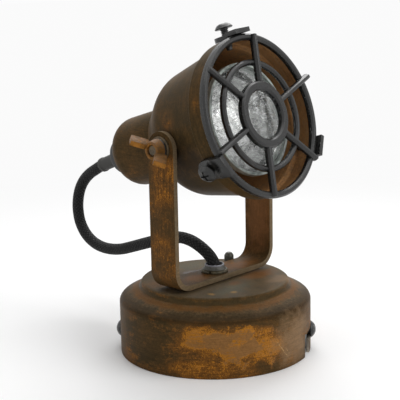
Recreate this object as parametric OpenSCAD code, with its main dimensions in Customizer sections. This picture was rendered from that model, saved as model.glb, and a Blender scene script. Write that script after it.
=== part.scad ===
// Spotlight on a swivelling yoke, in millimetres, standing on its base, head facing -Y.

/* [Base] */
// Outer diameter of the canopy
base_d = 88; // [80:0.5:100]
// Height of the straight wall
base_side_h = 23.5; // [20:0.5:30]
// Radius of the shoulder
shoulder_r = 3.2; // [2.6:0.1:5]
// Slope of the ledge above the shoulder, in degrees
ledge_slope = 26.5; // [15:0.5:32]
// Diameter of the raised top
crown_d = 66; // [58:0.5:72]
// Height of the raised top's edge above the ledge
crown_step = 3.2; // [2:0.1:4]
// Width of the raised top's rounded edge
crown_edge = 2.2; // [1.6:0.1:3]
// Rise of the crowned top from its edge to its flat middle
crown_rise = 0.2; // [0.1:0.1:1]
// Diameter of the flat middle of the top
crown_flat_d = 28; // [24:0.5:36]
// Sheet thickness of the canopy
base_wall = 1.2; // [0.8:0.1:1.6]
// Direction of the side screws, in degrees from +X
bracket_turn = -52.5; // [-90:0.5:90]
// Width of the slots' open ends at the rim
entry_w = 7; // [6.4:0.1:9]
// Turn from the slots' open ends to the side screws in degrees
entry_turn = 15.5; // [13:0.5:22]

/* [Mounting bracket] */
// Width of the bracket strip
bracket_w = 18; // [14:0.5:24]
// Thickness of the bracket strip
bracket_t = 2; // [1.5:0.1:3]
// Width of the bracket's upturned tabs
bracket_tab_w = 12; // [9:0.5:14]
// Height of the bracket's tabs above the strip
bracket_tab_h = 13; // [11:0.5:16]
// Spacing of the two wall-screw holes
wall_hole_spacing = 50; // [44:0.5:56]
// Diameter of the wall-screw holes
wall_hole_d = 4.5; // [3.5:0.1:5.5]
// Diameter of the supply cable's hole in the bracket
cable_hole_d = 11; // [8:0.5:12]

/* [Side screws and stop] */
// Thread diameter of the side screws
side_screw_d = 4; // [3:0.1:5]
// Head diameter of the side screws
side_head_d = 8; // [7:0.1:10]
// Head height of the side screws
side_head_h = 2.4; // [1.6:0.1:3]
// Height of the side screws above the floor
side_screw_z = 8.5; // [8:0.1:10]
// Diameter of the stop pin
stop_d = 4.6; // [4.2:0.1:5]
// Distance of the stop pin from the swivel axis
stop_r = 25.2; // [24:0.1:27]
// Gap between the stop pin and the strap's edge as the lamp is posed
stop_gap = 1.05; // [0.6:0.05:2]
// Height of the stop pin above the canopy
stop_h = 5.6; // [4:0.1:8]
// Thread diameter of the stop pin
stop_thread_d = 3.6; // [3:0.1:4]

/* [Swivel] */
// Outer diameter of the hollow nipple
nipple_d = 8; // [7.4:0.1:8.6]
// Bore of the hollow nipple
nipple_bore = 6.4; // [6.1:0.1:6.8]
// Thickness of the washer between canopy and strap
swivel_washer_t = 0.3; // [0.2:0.1:1]
// Diameter of that washer
swivel_washer_d = 15; // [13:0.5:17]
// Diameter of the round nut on the strap
grip_nut_d = 12.4; // [11:0.1:14]
// Height of the round nut on the strap
grip_nut_h = 1.4; // [1:0.1:2]
// Outer diameter of the cord bush at its foot
bush_d = 9.6; // [9.2:0.1:11]
// Outer diameter of the cord bush at its mouth
bush_top_d = 8.6; // [8.2:0.1:9]
// Height of the cord bush
bush_h = 2.4; // [1.6:0.1:4]
// Width over the flats of the lock nut below the canopy
lock_nut_af = 13; // [12:0.5:15]
// Height of the lock nut
lock_nut_h = 4; // [3:0.1:6]
// Diameter of the washer below the canopy
under_washer_d = 18; // [16:0.5:22]
// Thickness of the washer below the canopy
under_washer_t = 1; // [0.6:0.1:1.6]

/* [Yoke] */
// Width over the outside of the arms
yoke_span = 67.2; // [66:0.1:72]
// Width of the strap
strap_w = 15; // [12:0.1:18]
// Thickness of the strap
strap_t = 2.3; // [1.8:0.1:3]
// Inside radius of the bends
bend_r = 7; // [5:0.5:12]
// Height of the tilt axis above the floor
pivot_z = 97.4; // [92:0.1:106]

/* [Head] */
// Tilt of the head above the horizontal in degrees
head_tilt = 17; // [0:1:30]
// Height of the head's axis above the tilt axis
axis_rise = 4; // [0:0.1:6]
// Outer diameter of the collar
collar_d = 70.4; // [68:0.1:76]
// Length of the collar
collar_len = 7.2; // [5:0.1:9]
// Distance from the tilt axis to the mouth of the collar
mouth_l = 29.2; // [28:0.1:34]
// Outer diameter of the dome behind the collar
dome_d = 66.6; // [64:0.1:68]
// Outer diameter of the dome at the tilt axis
waist_d = 59.2; // [57:0.1:61]
// Radius of the dome's rounded back edge
knee_r = 16; // [10:0.5:20]
// Slope of the dome's back cone in degrees from the axis
back_slope = 36; // [30:0.5:42]
// Distance from the tilt axis to the back of the dome
dome_back_l = 22.5; // [21:0.1:25]
// Sheet thickness of the shell and of the rear cup
shell_wall = 1; // [0.7:0.1:1.4]
// Outer diameter of the rear cup
cup_d = 32.8; // [31.6:0.1:34]
// Length of the rear cup
cup_len = 31.8; // [31:0.1:36]
// Radius of the rear cup's back edge
cup_round = 9; // [6:0.5:11]

/* [Tilt pivots] */
// Thread diameter of the pivot bolts
pivot_d = 5; // [4:0.1:6]
// Diameter of the pivot bolts' feet inside the shell
pivot_head_d = 8.4; // [7.5:0.1:9.5]
// Height of the pivot bolts' feet
pivot_head_h = 2.6; // [2:0.1:3]
// Diameter of the spacer bosses
boss_d = 12; // [10:0.5:14]
// Least length of the spacer bosses
boss_least = 1.3; // [0.8:0.1:1.6]
// Diameter of the flat washers
pivot_washer_d = 11; // [10:0.1:13]
// Thickness of the flat washers
pivot_washer_t = 0.8; // [0.6:0.1:1.4]
// Outer diameter of the spring washers
spring_d = 9.4; // [8.6:0.1:10]
// Thickness of the spring washers
spring_t = 1; // [0.8:0.1:1.6]
// Length of the bolts past the nuts' hubs, negative where they end inside
stud_proud = -0.7; // [-1.2:0.1:2]

/* [Wing nuts] */
// Diameter of the hub at its foot
wing_hub_d = 9.6; // [8.6:0.1:11]
// Diameter of the hub at its top
wing_hub_top_d = 7.6; // [7.2:0.1:9]
// Height of the hub
wing_hub_h = 3.6; // [3.2:0.1:5]
// Span over the wings
wing_span = 23; // [21:0.1:28]
// Height over the wings
wing_h = 9.4; // [8.6:0.1:12]
// Width of the wings
wing_w = 5.4; // [4.6:0.1:6]
// Rise of the wings in degrees
wing_rise = 47; // [40:1:55]
// Thickness of the wings
wing_t = 2.4; // [1.6:0.1:3]
// Turn of the near wing nut in degrees
wing_near_turn = 28; // [0:1:180]
// Turn of the far wing nut in degrees
wing_far_turn = 70; // [0:1:180]

/* [Guard] */
// Diameter of the outer ring to the middle of the wire
guard_d = 69.4; // [68:0.1:74]
// Wire diameter of the outer ring
guard_wire = 3; // [2:0.1:3.4]
// Diameter of the middle ring to the middle of the wire
mid_ring_d = 46.8; // [42:0.1:50]
// Wire diameter of the middle ring
mid_wire = 2.6; // [2:0.1:3]
// Diameter of the inner ring to the middle of its width
inner_ring_d = 25.4; // [22:0.1:28]
// Width of the inner ring
inner_ring_w = 4.1; // [4:0.1:5]
// Thickness of the inner ring
inner_wire = 3.4; // [3:0.1:3.8]
// Wire diameter of the spokes
spoke_d = 2.8; // [2:0.1:3.2]
// Number of spokes
spoke_count = 6; // [4:1:6]
// How far the spokes reach past the outer ring's middle
spoke_past = 1; // [0.4:0.1:1.4]
// How far the last spoke reaches past the outer ring's middle
spoke_last_past = 4.2; // [1:0.1:5]
// How far the spoke before the last one reaches past the outer ring's middle
spoke_next_past = 2.2; // [1:0.1:2.4]
// Depth to which the spokes are let into the rings
spoke_sink = 1.2; // [0.4:0.1:1.4]
// Turn of the spokes in degrees
spoke_turn = -9.3; // [-30:0.1:30]
// Place of the top tab around the head in degrees
tab_top_turn = 94; // [88:0.5:104]
// Place of the far tab around the head in degrees
tab_far_turn = -29; // [-30:0.5:-16]
// Place of the near tab around the head in degrees
tab_near_turn = -151; // [-152:0.5:-140]
// Width of the tabs
tab_w = 9.6; // [8:0.1:12]
// Length of the tabs
tab_len = 15.4; // [13:0.1:18]
// Thickness of the tabs
tab_t = 2; // [1.4:0.1:2.6]
// Thread diameter of the guard's screws
guard_screw_d = 3.6; // [3:0.1:4.4]
// Head diameter of the guard's screws
guard_head_d = 8; // [7:0.1:9]
// Head height of the guard's screws
guard_head_h = 2.4; // [1.8:0.1:3]
// Length of the guard's screws below the head
guard_screw_len = 9.5; // [8.5:0.1:11]
// How far the top tab's screw stands proud
proud_top = 3.2; // [0.5:0.1:4]
// How far the far tab's screw stands proud
proud_far = 1.4; // [0.5:0.1:4]
// How far the near tab's screw stands proud
proud_near = 2.2; // [0.5:0.1:4]
// Distance of the guard's screws from the mouth of the collar
guard_screw_back = 5; // [4.6:0.1:5.2]

/* [Bulb and holder] */
// Diameter of the bulb
bulb_d = 50; // [48:0.1:52]
// Distance from the mouth of the collar back to the bulb's rim
bulb_recess = 4.8; // [3:0.1:5]
// Height of the bulb's straight rim
bulb_rim_h = 3.4; // [3:0.1:4.4]
// Depth of the bulb from its rim to its base
bulb_depth = 45; // [44:0.1:46]
// Length of the bulb's base
bulb_base_len = 12; // [10:0.1:14]
// Diameter of the bulb's base
bulb_base_d = 20.4; // [19.4:0.1:22]
// Glass thickness of the reflector
bulb_glass = 1.3; // [1:0.1:2]
// Diameter of the capsule
capsule_d = 9.5; // [7:0.1:11]
// Spacing of the bulb's pins
pin_spacing = 10; // [8:0.1:12]
// Head diameter of the bulb's pins
pin_head_d = 5; // [4:0.1:5.4]
// Shank diameter of the bulb's pins
pin_shank_d = 3; // [2:0.1:3.6]
// Length of the bulb's pins
pin_len = 7.5; // [6:0.1:8]
// Gap between the bulb's base and the lamp holder
bulb_gap = 0.4; // [0.2:0.1:0.8]
// Diameter of the lamp holder's body
holder_d = 24; // [22:0.1:25]
// Diameter of the lamp holder's flange
holder_flange_d = 31; // [29.6:0.1:32]
// Thickness of the lamp holder's flange
holder_flange_t = 2.4; // [2:0.1:3]
// Length of the lamp holder behind the shell
holder_len = 21; // [18:0.5:23]
// Thread diameter of the holder's screws
holder_screw_d = 2.5; // [2:0.1:2.6]

/* [Gland and cord] */
// Diameter of the gland's flange
gland_d = 17.6; // [15:0.1:18.4]
// Thickness of the gland's flange
gland_len = 5.8; // [4:0.1:7]
// Diameter of the gland's thread
gland_thread_d = 8; // [7.4:0.1:8.6]
// Diameter of the sleeve
sleeve_d = 6.6; // [6.5:0.1:8.4]
// Length of the sleeve
sleeve_len = 15.6; // [12:0.1:18]
// Droop of the sleeve below the head's axis in degrees
sleeve_droop = 5; // [0:0.5:8]
// Width over the flats of the gland's nut
gland_nut_af = 11; // [10:0.1:12]
// Height of the gland's nut
gland_nut_h = 3; // [2:0.1:4]
// Diameter of the cord
cord_d = 5.6; // [5:0.1:5.8]
// Diameter of the insulated leads
lead_d = 1.8; // [1.2:0.1:2.2]

/* [Terminal block] */
// Length of the terminal block across the bracket
block_len = 20; // [19:0.1:22]
// Width of the terminal block along the bracket
block_w = 10; // [9:0.1:11]
// Height of the terminal block
block_h = 11; // [10:0.1:13]
// Distance of the terminal block's middle from the base's axis
block_off = 13; // [12:0.1:14]
// Diameter of the terminal screws
term_screw_d = 2.6; // [2:0.1:3]

/* [Clearances] */
// Radial clearance of a pin that turns in a bore
run_fit = 0.08; // [0.03:0.01:0.1]
// Radial clearance of a screw or piece in its hole
loose_fit = 0.1; // [0.05:0.01:0.15]
// Gap between faces that turn on each other
face_gap = 0.06; // [0.03:0.01:0.1]
// Gap between faces that are clamped or welded
seat_gap = 0.02; // [0.01:0.01:0.03]

/* [Hidden] */
$fn = 64;
SIDES = [-1, 1];
ENDS = [0, 180];
// Overshoot of a cutting body, and depth to which two bodies of one piece run into each other
over = 1;
sink = 0.1;
// Height of the lowest screw ends above the floor
floor_gap = 0.4;

// Derived sizes of the base
base_r = base_d / 2;
shoulder_end = 90 - ledge_slope;
shoulder_x = base_r - shoulder_r + shoulder_r * cos(shoulder_end);
shoulder_z = base_side_h + shoulder_r * sin(shoulder_end);
ledge_in_r = crown_d / 2 + crown_edge;
ledge_in_z = shoulder_z + (shoulder_x - ledge_in_r) * tan(ledge_slope);
crown_edge_z = ledge_in_z + crown_step;
crown_z = crown_edge_z + crown_rise;
nipple_hole_r = nipple_d / 2 + run_fit;
canopy_in_r = base_r - base_wall;
slot_h = side_screw_d + 8 * loose_fit;
entry_drop = 0.3;
tab_gap = 0.3;
tab_face = sqrt(canopy_in_r * canopy_in_r - bracket_tab_w * bracket_tab_w / 4) - tab_gap;
screw_past = 2;
screw_tip_r = tab_face - bracket_t - screw_past;
stop_turn = asin((strap_w / 2 + stop_d / 2 + stop_gap) / stop_r);
stop_slope = crown_rise / (crown_d / 2 - crown_flat_d / 2);
stop_foot_z = crown_z - (stop_r + stop_d / 2 - crown_flat_d / 2) * stop_slope;
stop_nut_af = stop_thread_d + 3;
stop_nut_h = 3;
stop_thread_len = stop_nut_h + 2;
stop_dome_h = stop_d * 0.45;
stop_in_z = crown_z - base_wall - (stop_r + stop_nut_af / 2 + 0.6 - crown_flat_d / 2) * stop_slope - seat_gap;

// Derived sizes of the swivel and of the yoke
strap_z = crown_z + swivel_washer_t + 2 * face_gap;
strap_top = strap_z + strap_t;
grip_top = strap_top + seat_gap + grip_nut_h;
bush_z = grip_top + seat_gap;
bush_top = bush_z + bush_h;
under_z = crown_z - base_wall - face_gap - under_washer_t;
lock_z = under_z - seat_gap - lock_nut_h;
nipple_past = 2;
nipple_low = lock_z - nipple_past;
cord_past = 0.5;
cord_low = nipple_low - cord_past;
arm_out = max(yoke_span / 2, waist_d / 2 + boss_least + strap_t);
arm_in = arm_out - strap_t;
bend_out_r = bend_r + strap_t;
bend_x = arm_out - bend_out_r;
bend_z = strap_z + bend_out_r;

// Derived sizes of the terminal block, with its places from the block's middle
block_z = bracket_t + seat_gap;
clamp_x = block_w * 0.28;
clamp_y = block_len * 0.34;
clamp_deep = 6;
clamp_len = 5;
clamp_slot = 0.6;
lead_drop = 7.5;
lead_gap = 0.3;
lead_deep = block_w * 0.2;
lead_end = lead_deep - 0.5;
block_bore_deep = 3;
block_head_d = 2 * term_screw_d;
block_head_h = 2.2;
earth_washer_t = 1;

// Derived sizes of the head, with lengths along its axis counted forward from the tilt axis
collar_r = collar_d / 2;
collar_back = mouth_l - collar_len;
dome_r = dome_d / 2;
waist_r = waist_d / 2;
front_slope = atan((dome_r - waist_r) / (collar_back - 1));
cone_out_r = cup_d / 2 + 1;
knee_a = back_slope - front_slope;
knee_run = knee_r * tan(knee_a / 2);
back_len = (waist_r - cone_out_r - tan(front_slope) * dome_back_l) / (tan(back_slope) - tan(front_slope));
corner_l = -dome_back_l + back_len;
corner_r = cone_out_r + back_len * tan(back_slope);
knee_c = [corner_r - knee_run * sin(front_slope) - knee_r * cos(front_slope),
    corner_l + knee_run * cos(front_slope) - knee_r * -sin(front_slope)];
cup_front = -dome_back_l - seat_gap;
cup_back = cup_front - cup_len;
gland_z = cup_back - seat_gap;
gland_back = gland_z - gland_len;
gland_bore_r = cord_d / 2 + 2 * loose_fit;
gland_edge = gland_len * 0.2;
thread_past = 2;
cord_start = cup_back + shell_wall + gland_nut_h + thread_past + over;
neck_hole_r = holder_d / 2 + loose_fit;

// Derived sizes of the pivots
boss_out = arm_in - face_gap;
washer_in = arm_out + face_gap;
spring_in = washer_in + pivot_washer_t + seat_gap;
nut_in = spring_in + spring_t + face_gap;
nut_out = nut_in + wing_hub_h;
stud_out = nut_out + stud_proud;
foot_in = waist_r - shell_wall - pivot_head_h - 1.2;
stud_tip = pivot_d * 0.1;

// Derived sizes of the guard
guard_l = mouth_l + guard_wire / 2 + seat_gap;
spoke_l = guard_l + guard_wire / 2 + spoke_d / 2 - spoke_sink;
mid_l = spoke_l - spoke_d / 2 - mid_wire / 2 + spoke_sink;
inner_edge_r = (inner_ring_d + inner_ring_w - inner_wire) / 2;
tab_rear_r = collar_r + seat_gap;
tab_in_r = guard_d / 2 + guard_wire / 2 + seat_gap;
tab_past = 1.9;
joggle_back = 2.2;
joggle_front = 0.4;
tab_front = guard_l + guard_wire / 2 + tab_past;
tab_back = tab_front - tab_len;
guard_screw_l = mouth_l - guard_screw_back;
tab_turns = [tab_top_turn, tab_far_turn, tab_near_turn];
screw_proud = [proud_top, proud_far, proud_near];

// Derived sizes of the bulb and of its holder
bulb_front = mouth_l - bulb_recess;
bulb_back = bulb_front - bulb_depth;
neck_l = bulb_back + bulb_base_len;
capsule_l = neck_l - 2;
capsule_len = bulb_depth * 0.45;
pin_deep = 3;
neck_r = bulb_base_d / 2 - 0.6;
bowl_l = bulb_front - bulb_rim_h;
bowl_r = bulb_d / 2 - 0.8;
bowl_k = (bowl_r * bowl_r - neck_r * neck_r) / (bowl_l - neck_l);
lens_t = 1.2;
lens_back = bowl_l + 1.3;
holder_seat = -dome_back_l + shell_wall + seat_gap;
holder_front = holder_seat + holder_flange_t;
holder_back = -dome_back_l - holder_len;
holder_nose = bulb_back - bulb_gap;
holder_screw_r = (holder_d + holder_flange_d) / 4;
holder_screw_past = 2;
holder_screw_len = holder_front + dome_back_l + holder_screw_past + sink;
holder_head_h = 1.2;

// Route of the cord from the sleeve to the bush as [y, z], and the two ends that it is drawn for
route_sleeve = [73.1, 77.7];
route_mouth = [0, 39.8];
route_free = [[78, 75.2], [82.8, 72.4], [87.2, 68.6], [90.4, 64], [92.3, 58.6], [92.8, 52.6], [91.4, 46.2],
    [87.6, 40.8], [82, 37.2], [75.4, 35.6], [68.4, 35.6], [61.4, 36.8], [54.4, 39], [47.4, 41.4],
    [40.4, 43.8], [33.6, 46.2], [27, 48], [20.8, 48.8], [15, 48.4], [9.8, 46.8], [5.4, 44.6], [2.2, 42.2],
    [0.5, 39.8], [0, 37.6], [0, 35.6]];
cord_sides = 10;
lead_sides = 8;

// Point on the head's axis in the row's frame
function head_pt(l) = [0, -l * cos(head_tilt) + axis_rise * sin(head_tilt),
    pivot_z + l * sin(head_tilt) + axis_rise * cos(head_tilt)];

// Points of an arc
function arc_pts(c, r, a0, a1, n) =
    [for (i = [0 : n]) [c[0] + r * cos(a0 + (a1 - a0) * i / n), c[1] + r * sin(a0 + (a1 - a0) * i / n)]];

// Unit normal to the left of the way from a to b
function left_of(a, b) = let (d = b - a) [-d[1], d[0]] / norm(d);

// Path moved sideways by d, to the left where d is positive
function beside(p, d) = let (m = len(p) - 1) [for (i = [0 : m])
    let (n1 = left_of(p[max(i - 1, 0)], p[max(i, 1)]), n2 = left_of(p[min(i, m - 1)], p[min(i + 1, m)]))
    p[i] + d * (n1 + n2) / (1 + n1 * n2)];

function reversed(p) = [for (i = [len(p) - 1 : -1 : 0]) p[i]];

// Closed outline of a sheet along a path
function sheet(p, wall) = concat(p, reversed(beside(p, wall)));

// Smooth curve through route points
function bend_pt(a, b, c, d, t) = 0.5 * (2 * b + (c - a) * t + (2 * a - 5 * b + 4 * c - d) * t * t
    + (3 * b - a - 3 * c + d) * t * t * t);
function smooth(p, steps) = let (m = len(p) - 1) concat([for (i = [0 : m - 1]) for (s = [0 : steps - 1])
    bend_pt(p[max(i - 1, 0)], p[i], p[i + 1], p[min(i + 2, m)], s / steps)], [p[m]]);

// Direction of a path at a point
function heading(p, i) = let (d = p[min(i + 1, len(p) - 1)] - p[max(i - 1, 0)]) d / norm(d);

// Unit vector square to a direction, near the wanted one
function square_to(t, want) = let (u = want - (want * t) * t) u / norm(u);

// Ring of points round a path point
function ring_at(p, i, r, sides, want) = let (t = heading(p, i), u = square_to(t, want), w = cross(t, u))
    [for (k = [0 : sides - 1]) p[i] + r * (cos(360 * k / sides) * u + sin(360 * k / sides) * w)];

// Closed tube along a path
module tube(p, d, sides, want) {
    n = len(p);
    pts = [for (i = [0 : n - 1]) each ring_at(p, i, d / 2, sides, want)];
    quads = [for (i = [0 : n - 2]) for (k = [0 : sides - 1])
        [i * sides + k, i * sides + (k + 1) % sides, (i + 1) * sides + (k + 1) % sides, (i + 1) * sides + k]];
    tris = [for (q = quads) each [[q[0], q[2], q[1]], [q[0], q[3], q[2]]]];
    first = [for (k = [1 : sides - 2]) [0, k, k + 1]];
    last = [for (k = [1 : sides - 2]) [(n - 1) * sides, (n - 1) * sides + k + 1, (n - 1) * sides + k]];
    polyhedron(points = pts, faces = concat(tris, first, last), convexity = 8);
}

// Frames
module head_pose() {
    translate([0, 0, pivot_z])
        rotate([-head_tilt, 0, 0])
            children();
}

module head_axis() {
    head_pose()
        translate([0, 0, axis_rise])
            rotate([90, 0, 0])
                children();
}

module pivot_side(side) {
    head_pose()
        rotate([0, 90 * side, 0])
            children();
}

module round_head(a, x) {
    rotate([0, 0, a])
        translate([x, 0, 0])
            rotate([0, 90, 0])
                children();
}

module hex(af, h) {
    cylinder(d = af / cos(30), h = h, $fn = 6);
}

// Flat ring
module washer(d, bore, h) {
    difference() {
        cylinder(d = d, h = h);
        translate([0, 0, -over])
            cylinder(d = bore, h = h + 2 * over);
    }
}

// Domed screw head with a flat underside at 0, rising along +Z
module dome_head(d, h) {
    ball = (d * d / 4 + h * h) / (2 * h);
    intersection() {
        translate([0, 0, h - ball])
            sphere(r = ball);
        cylinder(d = d + 2, h = h + 1);
    }
}

// Cross recess cut into a head's top
module cross_cut(d, top, deep) {
    for (a = [0, 90])
        rotate([0, 0, a])
            translate([-d * 0.28, -d * 0.06, top - deep])
                cube([d * 0.56, d * 0.12, deep + 1]);
}

// Base
function canopy_path() = concat([[base_r, 0], [base_r, base_side_h]],
    arc_pts([base_r - shoulder_r, base_side_h], shoulder_r, shoulder_end / 6, shoulder_end, 5),
    [[ledge_in_r, ledge_in_z],
     [ledge_in_r - crown_edge * 0.32, ledge_in_z + crown_step * 0.24],
     [ledge_in_r - crown_edge * 0.52, ledge_in_z + crown_step * 0.58],
     [ledge_in_r - crown_edge * 0.8, ledge_in_z + crown_step * 0.88],
     [crown_d / 2 - crown_edge * 0.4, crown_edge_z],
     [crown_d / 2 - 8, crown_edge_z + crown_rise * 0.5],
     [crown_flat_d / 2, crown_z],
     [nipple_hole_r, crown_z]]);

// Slot that goes up from the rim and then sideways to a side screw
module bayonet_slot() {
    deep = base_wall + 6;
    in_r = canopy_in_r - 3;
    leg = 2 * base_r * sin(entry_turn / 2);
    rotate([0, 0, -entry_turn / 2])
        translate([in_r, -leg / 2, side_screw_z - slot_h / 2])
            cube([deep, leg + slot_h / 2, slot_h]);
    rotate([0, 0, -entry_turn])
        translate([in_r, -entry_w / 2, -over])
            cube([deep, entry_w, side_screw_z + slot_h / 2 - entry_drop + over]);
}

module base_canopy() {
    color("saddlebrown")
        difference() {
            rotate_extrude()
                polygon(sheet(canopy_path(), base_wall));
            for (a = ENDS)
                rotate([0, 0, bracket_turn + a])
                    bayonet_slot();
            rotate([0, 0, stop_turn])
                translate([stop_r, 0, 0])
                    cylinder(d = stop_thread_d + 2 * loose_fit, h = crown_z + over);
        }
}

module mounting_bracket() {
    color("silver")
        rotate([0, 0, bracket_turn])
            difference() {
                union() {
                    translate([-tab_face, -bracket_w / 2, 0])
                        intersection() {
                            cube([2 * tab_face, bracket_w, bracket_t]);
                            translate([tab_face, bracket_w / 2, -over])
                                cylinder(r = canopy_in_r - tab_gap, h = bracket_t + 2 * over);
                        }
                    for (a = ENDS)
                        rotate([0, 0, a])
                            translate([tab_face - bracket_t, -bracket_tab_w / 2, 0])
                                cube([bracket_t, bracket_tab_w, bracket_t + bracket_tab_h]);
                }
                for (a = ENDS)
                    rotate([0, 0, a]) {
                        translate([tab_face - bracket_t - over, 0, side_screw_z])
                            rotate([0, 90, 0])
                                cylinder(d = side_screw_d + 2 * loose_fit, h = bracket_t + 2 * over);
                        translate([wall_hole_spacing / 2, 0, -over])
                            cylinder(d = wall_hole_d, h = bracket_t + 2 * over);
                    }
                translate([0, 0, -over])
                    cylinder(d = cable_hole_d, h = bracket_t + 2 * over);
                translate([block_off, 0, -over])
                    cylinder(d = term_screw_d + 2 * loose_fit, h = bracket_t + 2 * over);
                translate([-block_off, 0, -over])
                    cylinder(d = side_screw_d + 2 * loose_fit, h = bracket_t + 2 * over);
            }
}

module canopy_screws() {
    color("dimgray")
        for (a = ENDS)
            round_head(bracket_turn + a, 0)
                translate([-side_screw_z, 0, 0]) {
                    translate([0, 0, base_r + seat_gap])
                        difference() {
                            dome_head(side_head_d, side_head_h);
                            translate([-side_head_d, -side_head_d * 0.08, side_head_h * 0.5])
                                cube([2 * side_head_d, side_head_d * 0.16, side_head_h]);
                        }
                    translate([0, 0, screw_tip_r])
                        cylinder(d = side_screw_d, h = base_r + seat_gap + sink - screw_tip_r);
                }
}

module stop_pin() {
    color("dimgray")
        rotate([0, 0, stop_turn])
            translate([stop_r, 0, 0]) {
                difference() {
                    union() {
                        translate([0, 0, crown_edge_z])
                            cylinder(d = stop_d, h = crown_z + stop_h - stop_dome_h - crown_edge_z);
                        translate([0, 0, crown_z + stop_h - stop_dome_h])
                            dome_head(stop_d, stop_dome_h);
                    }
                    rotate([0, 0, -stop_turn])
                        translate([-stop_r * cos(stop_turn), -stop_r * sin(stop_turn), seat_gap])
                            rotate_extrude()
                                polygon(concat(canopy_path(), [[nipple_hole_r, 0]]));
                }
                translate([0, 0, stop_in_z - stop_thread_len])
                    cylinder(d = stop_thread_d, h = stop_foot_z - stop_in_z + stop_thread_len + over);
            }
}

module stop_nut() {
    color("dimgray")
        rotate([0, 0, stop_turn])
            translate([stop_r, 0, stop_in_z - stop_nut_h])
                difference() {
                    hex(stop_nut_af, stop_nut_h);
                    translate([0, 0, -over])
                        cylinder(d = stop_thread_d + 2 * seat_gap, h = stop_nut_h + 2 * over);
                }
}

module terminal_block() {
    color("whitesmoke")
        rotate([0, 0, bracket_turn])
            translate([block_off, 0, block_z])
                difference() {
                    translate([-block_w / 2, -block_len / 2, 0])
                        cube([block_w, block_len, block_h]);
                    translate([0, 0, -over])
                        cylinder(d = term_screw_d + 2 * loose_fit, h = block_h + 2 * over);
                    translate([0, 0, block_h - block_bore_deep])
                        cylinder(d = block_head_d + 2 * loose_fit, h = block_bore_deep + over);
                    for (y = SIDES, x = SIDES)
                        translate([x * clamp_x, y * clamp_y, block_h - clamp_deep])
                            cylinder(d = term_screw_d + 2 * loose_fit, h = clamp_deep + over);
                    for (y = SIDES)
                        translate([-block_w / 2 - over, y * clamp_y, block_h - lead_drop])
                            rotate([0, 90, 0])
                                cylinder(d = lead_d + 2 * loose_fit, h = lead_deep + over);
                }
}

module terminal_screws() {
    color("gold")
        rotate([0, 0, bracket_turn])
            translate([block_off, 0, block_z + block_h - clamp_deep + seat_gap])
                for (y = SIDES, x = SIDES)
                    translate([x * clamp_x, y * clamp_y, 0])
                        difference() {
                            cylinder(d = term_screw_d, h = clamp_len);
                            translate([-term_screw_d, -clamp_slot / 2, clamp_len - clamp_slot])
                                cube([2 * term_screw_d, clamp_slot, over]);
                        }
}

module block_screw() {
    color("silver")
        rotate([0, 0, bracket_turn])
            translate([block_off, 0, 0]) {
                translate([0, 0, floor_gap])
                    cylinder(d = term_screw_d, h = block_z + block_h - block_bore_deep);
                translate([0, 0, block_z + block_h - block_bore_deep + seat_gap])
                    cylinder(d = block_head_d, h = block_head_h);
            }
}

module earth_screw() {
    color("gold")
        rotate([0, 0, bracket_turn])
            translate([-block_off, 0, 0]) {
                translate([0, 0, floor_gap])
                    cylinder(d = side_screw_d, h = bracket_t + earth_washer_t);
                translate([0, 0, bracket_t + seat_gap])
                    cylinder(d = 2 * side_screw_d, h = earth_washer_t);
                translate([0, 0, bracket_t + seat_gap + earth_washer_t])
                    dome_head(1.8 * side_screw_d, 0.6 * side_screw_d);
            }
}

// Route of a lead in the base, from below the nipple to the terminal block
function block_lead(side) = let (c = cos(bracket_turn), s = sin(bracket_turn), y = side * clamp_y,
    x = block_off - block_w / 2, z = block_z + block_h - lead_drop,
    at = [[0, side * 1.2, cord_low - lead_gap], [0.4, side * 1.6, cord_low - 3], [1.4, y * 0.6, z + 3],
        [x - 4.2, y * 0.9, z + 0.6], [x - 2, y, z], [x - 0.6, y, z], [x + lead_end, y, z]])
    [for (p = at) [p[0] * c - p[1] * s, p[0] * s + p[1] * c, p[2]]];

module base_leads() {
    color("saddlebrown")
        for (side = SIDES)
            tube(smooth(block_lead(side), 3), lead_d, lead_sides, [0.3, 0.2, 1]);
}

// Swivel
module swivel_nipple() {
    color("silver")
        translate([0, 0, nipple_low])
            washer(nipple_d, nipple_bore, grip_top - nipple_low);
}

module swivel_washer() {
    color("dimgray")
        translate([0, 0, crown_z + face_gap])
            washer(swivel_washer_d, nipple_d + 2 * loose_fit, swivel_washer_t);
}

module grip_nut() {
    color("peru")
        translate([0, 0, strap_top + seat_gap])
            difference() {
                union() {
                    cylinder(d = grip_nut_d, h = grip_nut_h * 0.7);
                    translate([0, 0, grip_nut_h * 0.7])
                        cylinder(d1 = grip_nut_d, d2 = grip_nut_d - grip_nut_h * 0.6, h = grip_nut_h * 0.3);
                }
                translate([0, 0, -over])
                    cylinder(d = nipple_d + 2 * seat_gap, h = grip_nut_h + 2 * over);
                for (a = [20, 200])
                    rotate([0, 0, a])
                        translate([grip_nut_d / 2 - 1.1, -0.6, -over])
                            cube([3, 1.2, grip_nut_h + 2]);
            }
}

module cord_bush() {
    color("lightgray")
        translate([0, 0, bush_z])
            difference() {
                cylinder(d1 = bush_d, d2 = bush_top_d, h = bush_h);
                translate([0, 0, -over])
                    cylinder(d = nipple_bore, h = bush_h + 2 * over);
                translate([0, 0, bush_h * 0.3])
                    cylinder(d1 = nipple_bore, d2 = bush_top_d - 0.5, h = bush_h * 0.7 + 0.02);
            }
}

module under_washer() {
    color("dimgray")
        translate([0, 0, under_z])
            washer(under_washer_d, nipple_d + 2 * loose_fit, under_washer_t);
}

module lock_nut() {
    color("dimgray")
        translate([0, 0, lock_z])
            difference() {
                hex(lock_nut_af, lock_nut_h);
                translate([0, 0, -over])
                    cylinder(d = nipple_d + 2 * seat_gap, h = lock_nut_h + 2 * over);
            }
}

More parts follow.
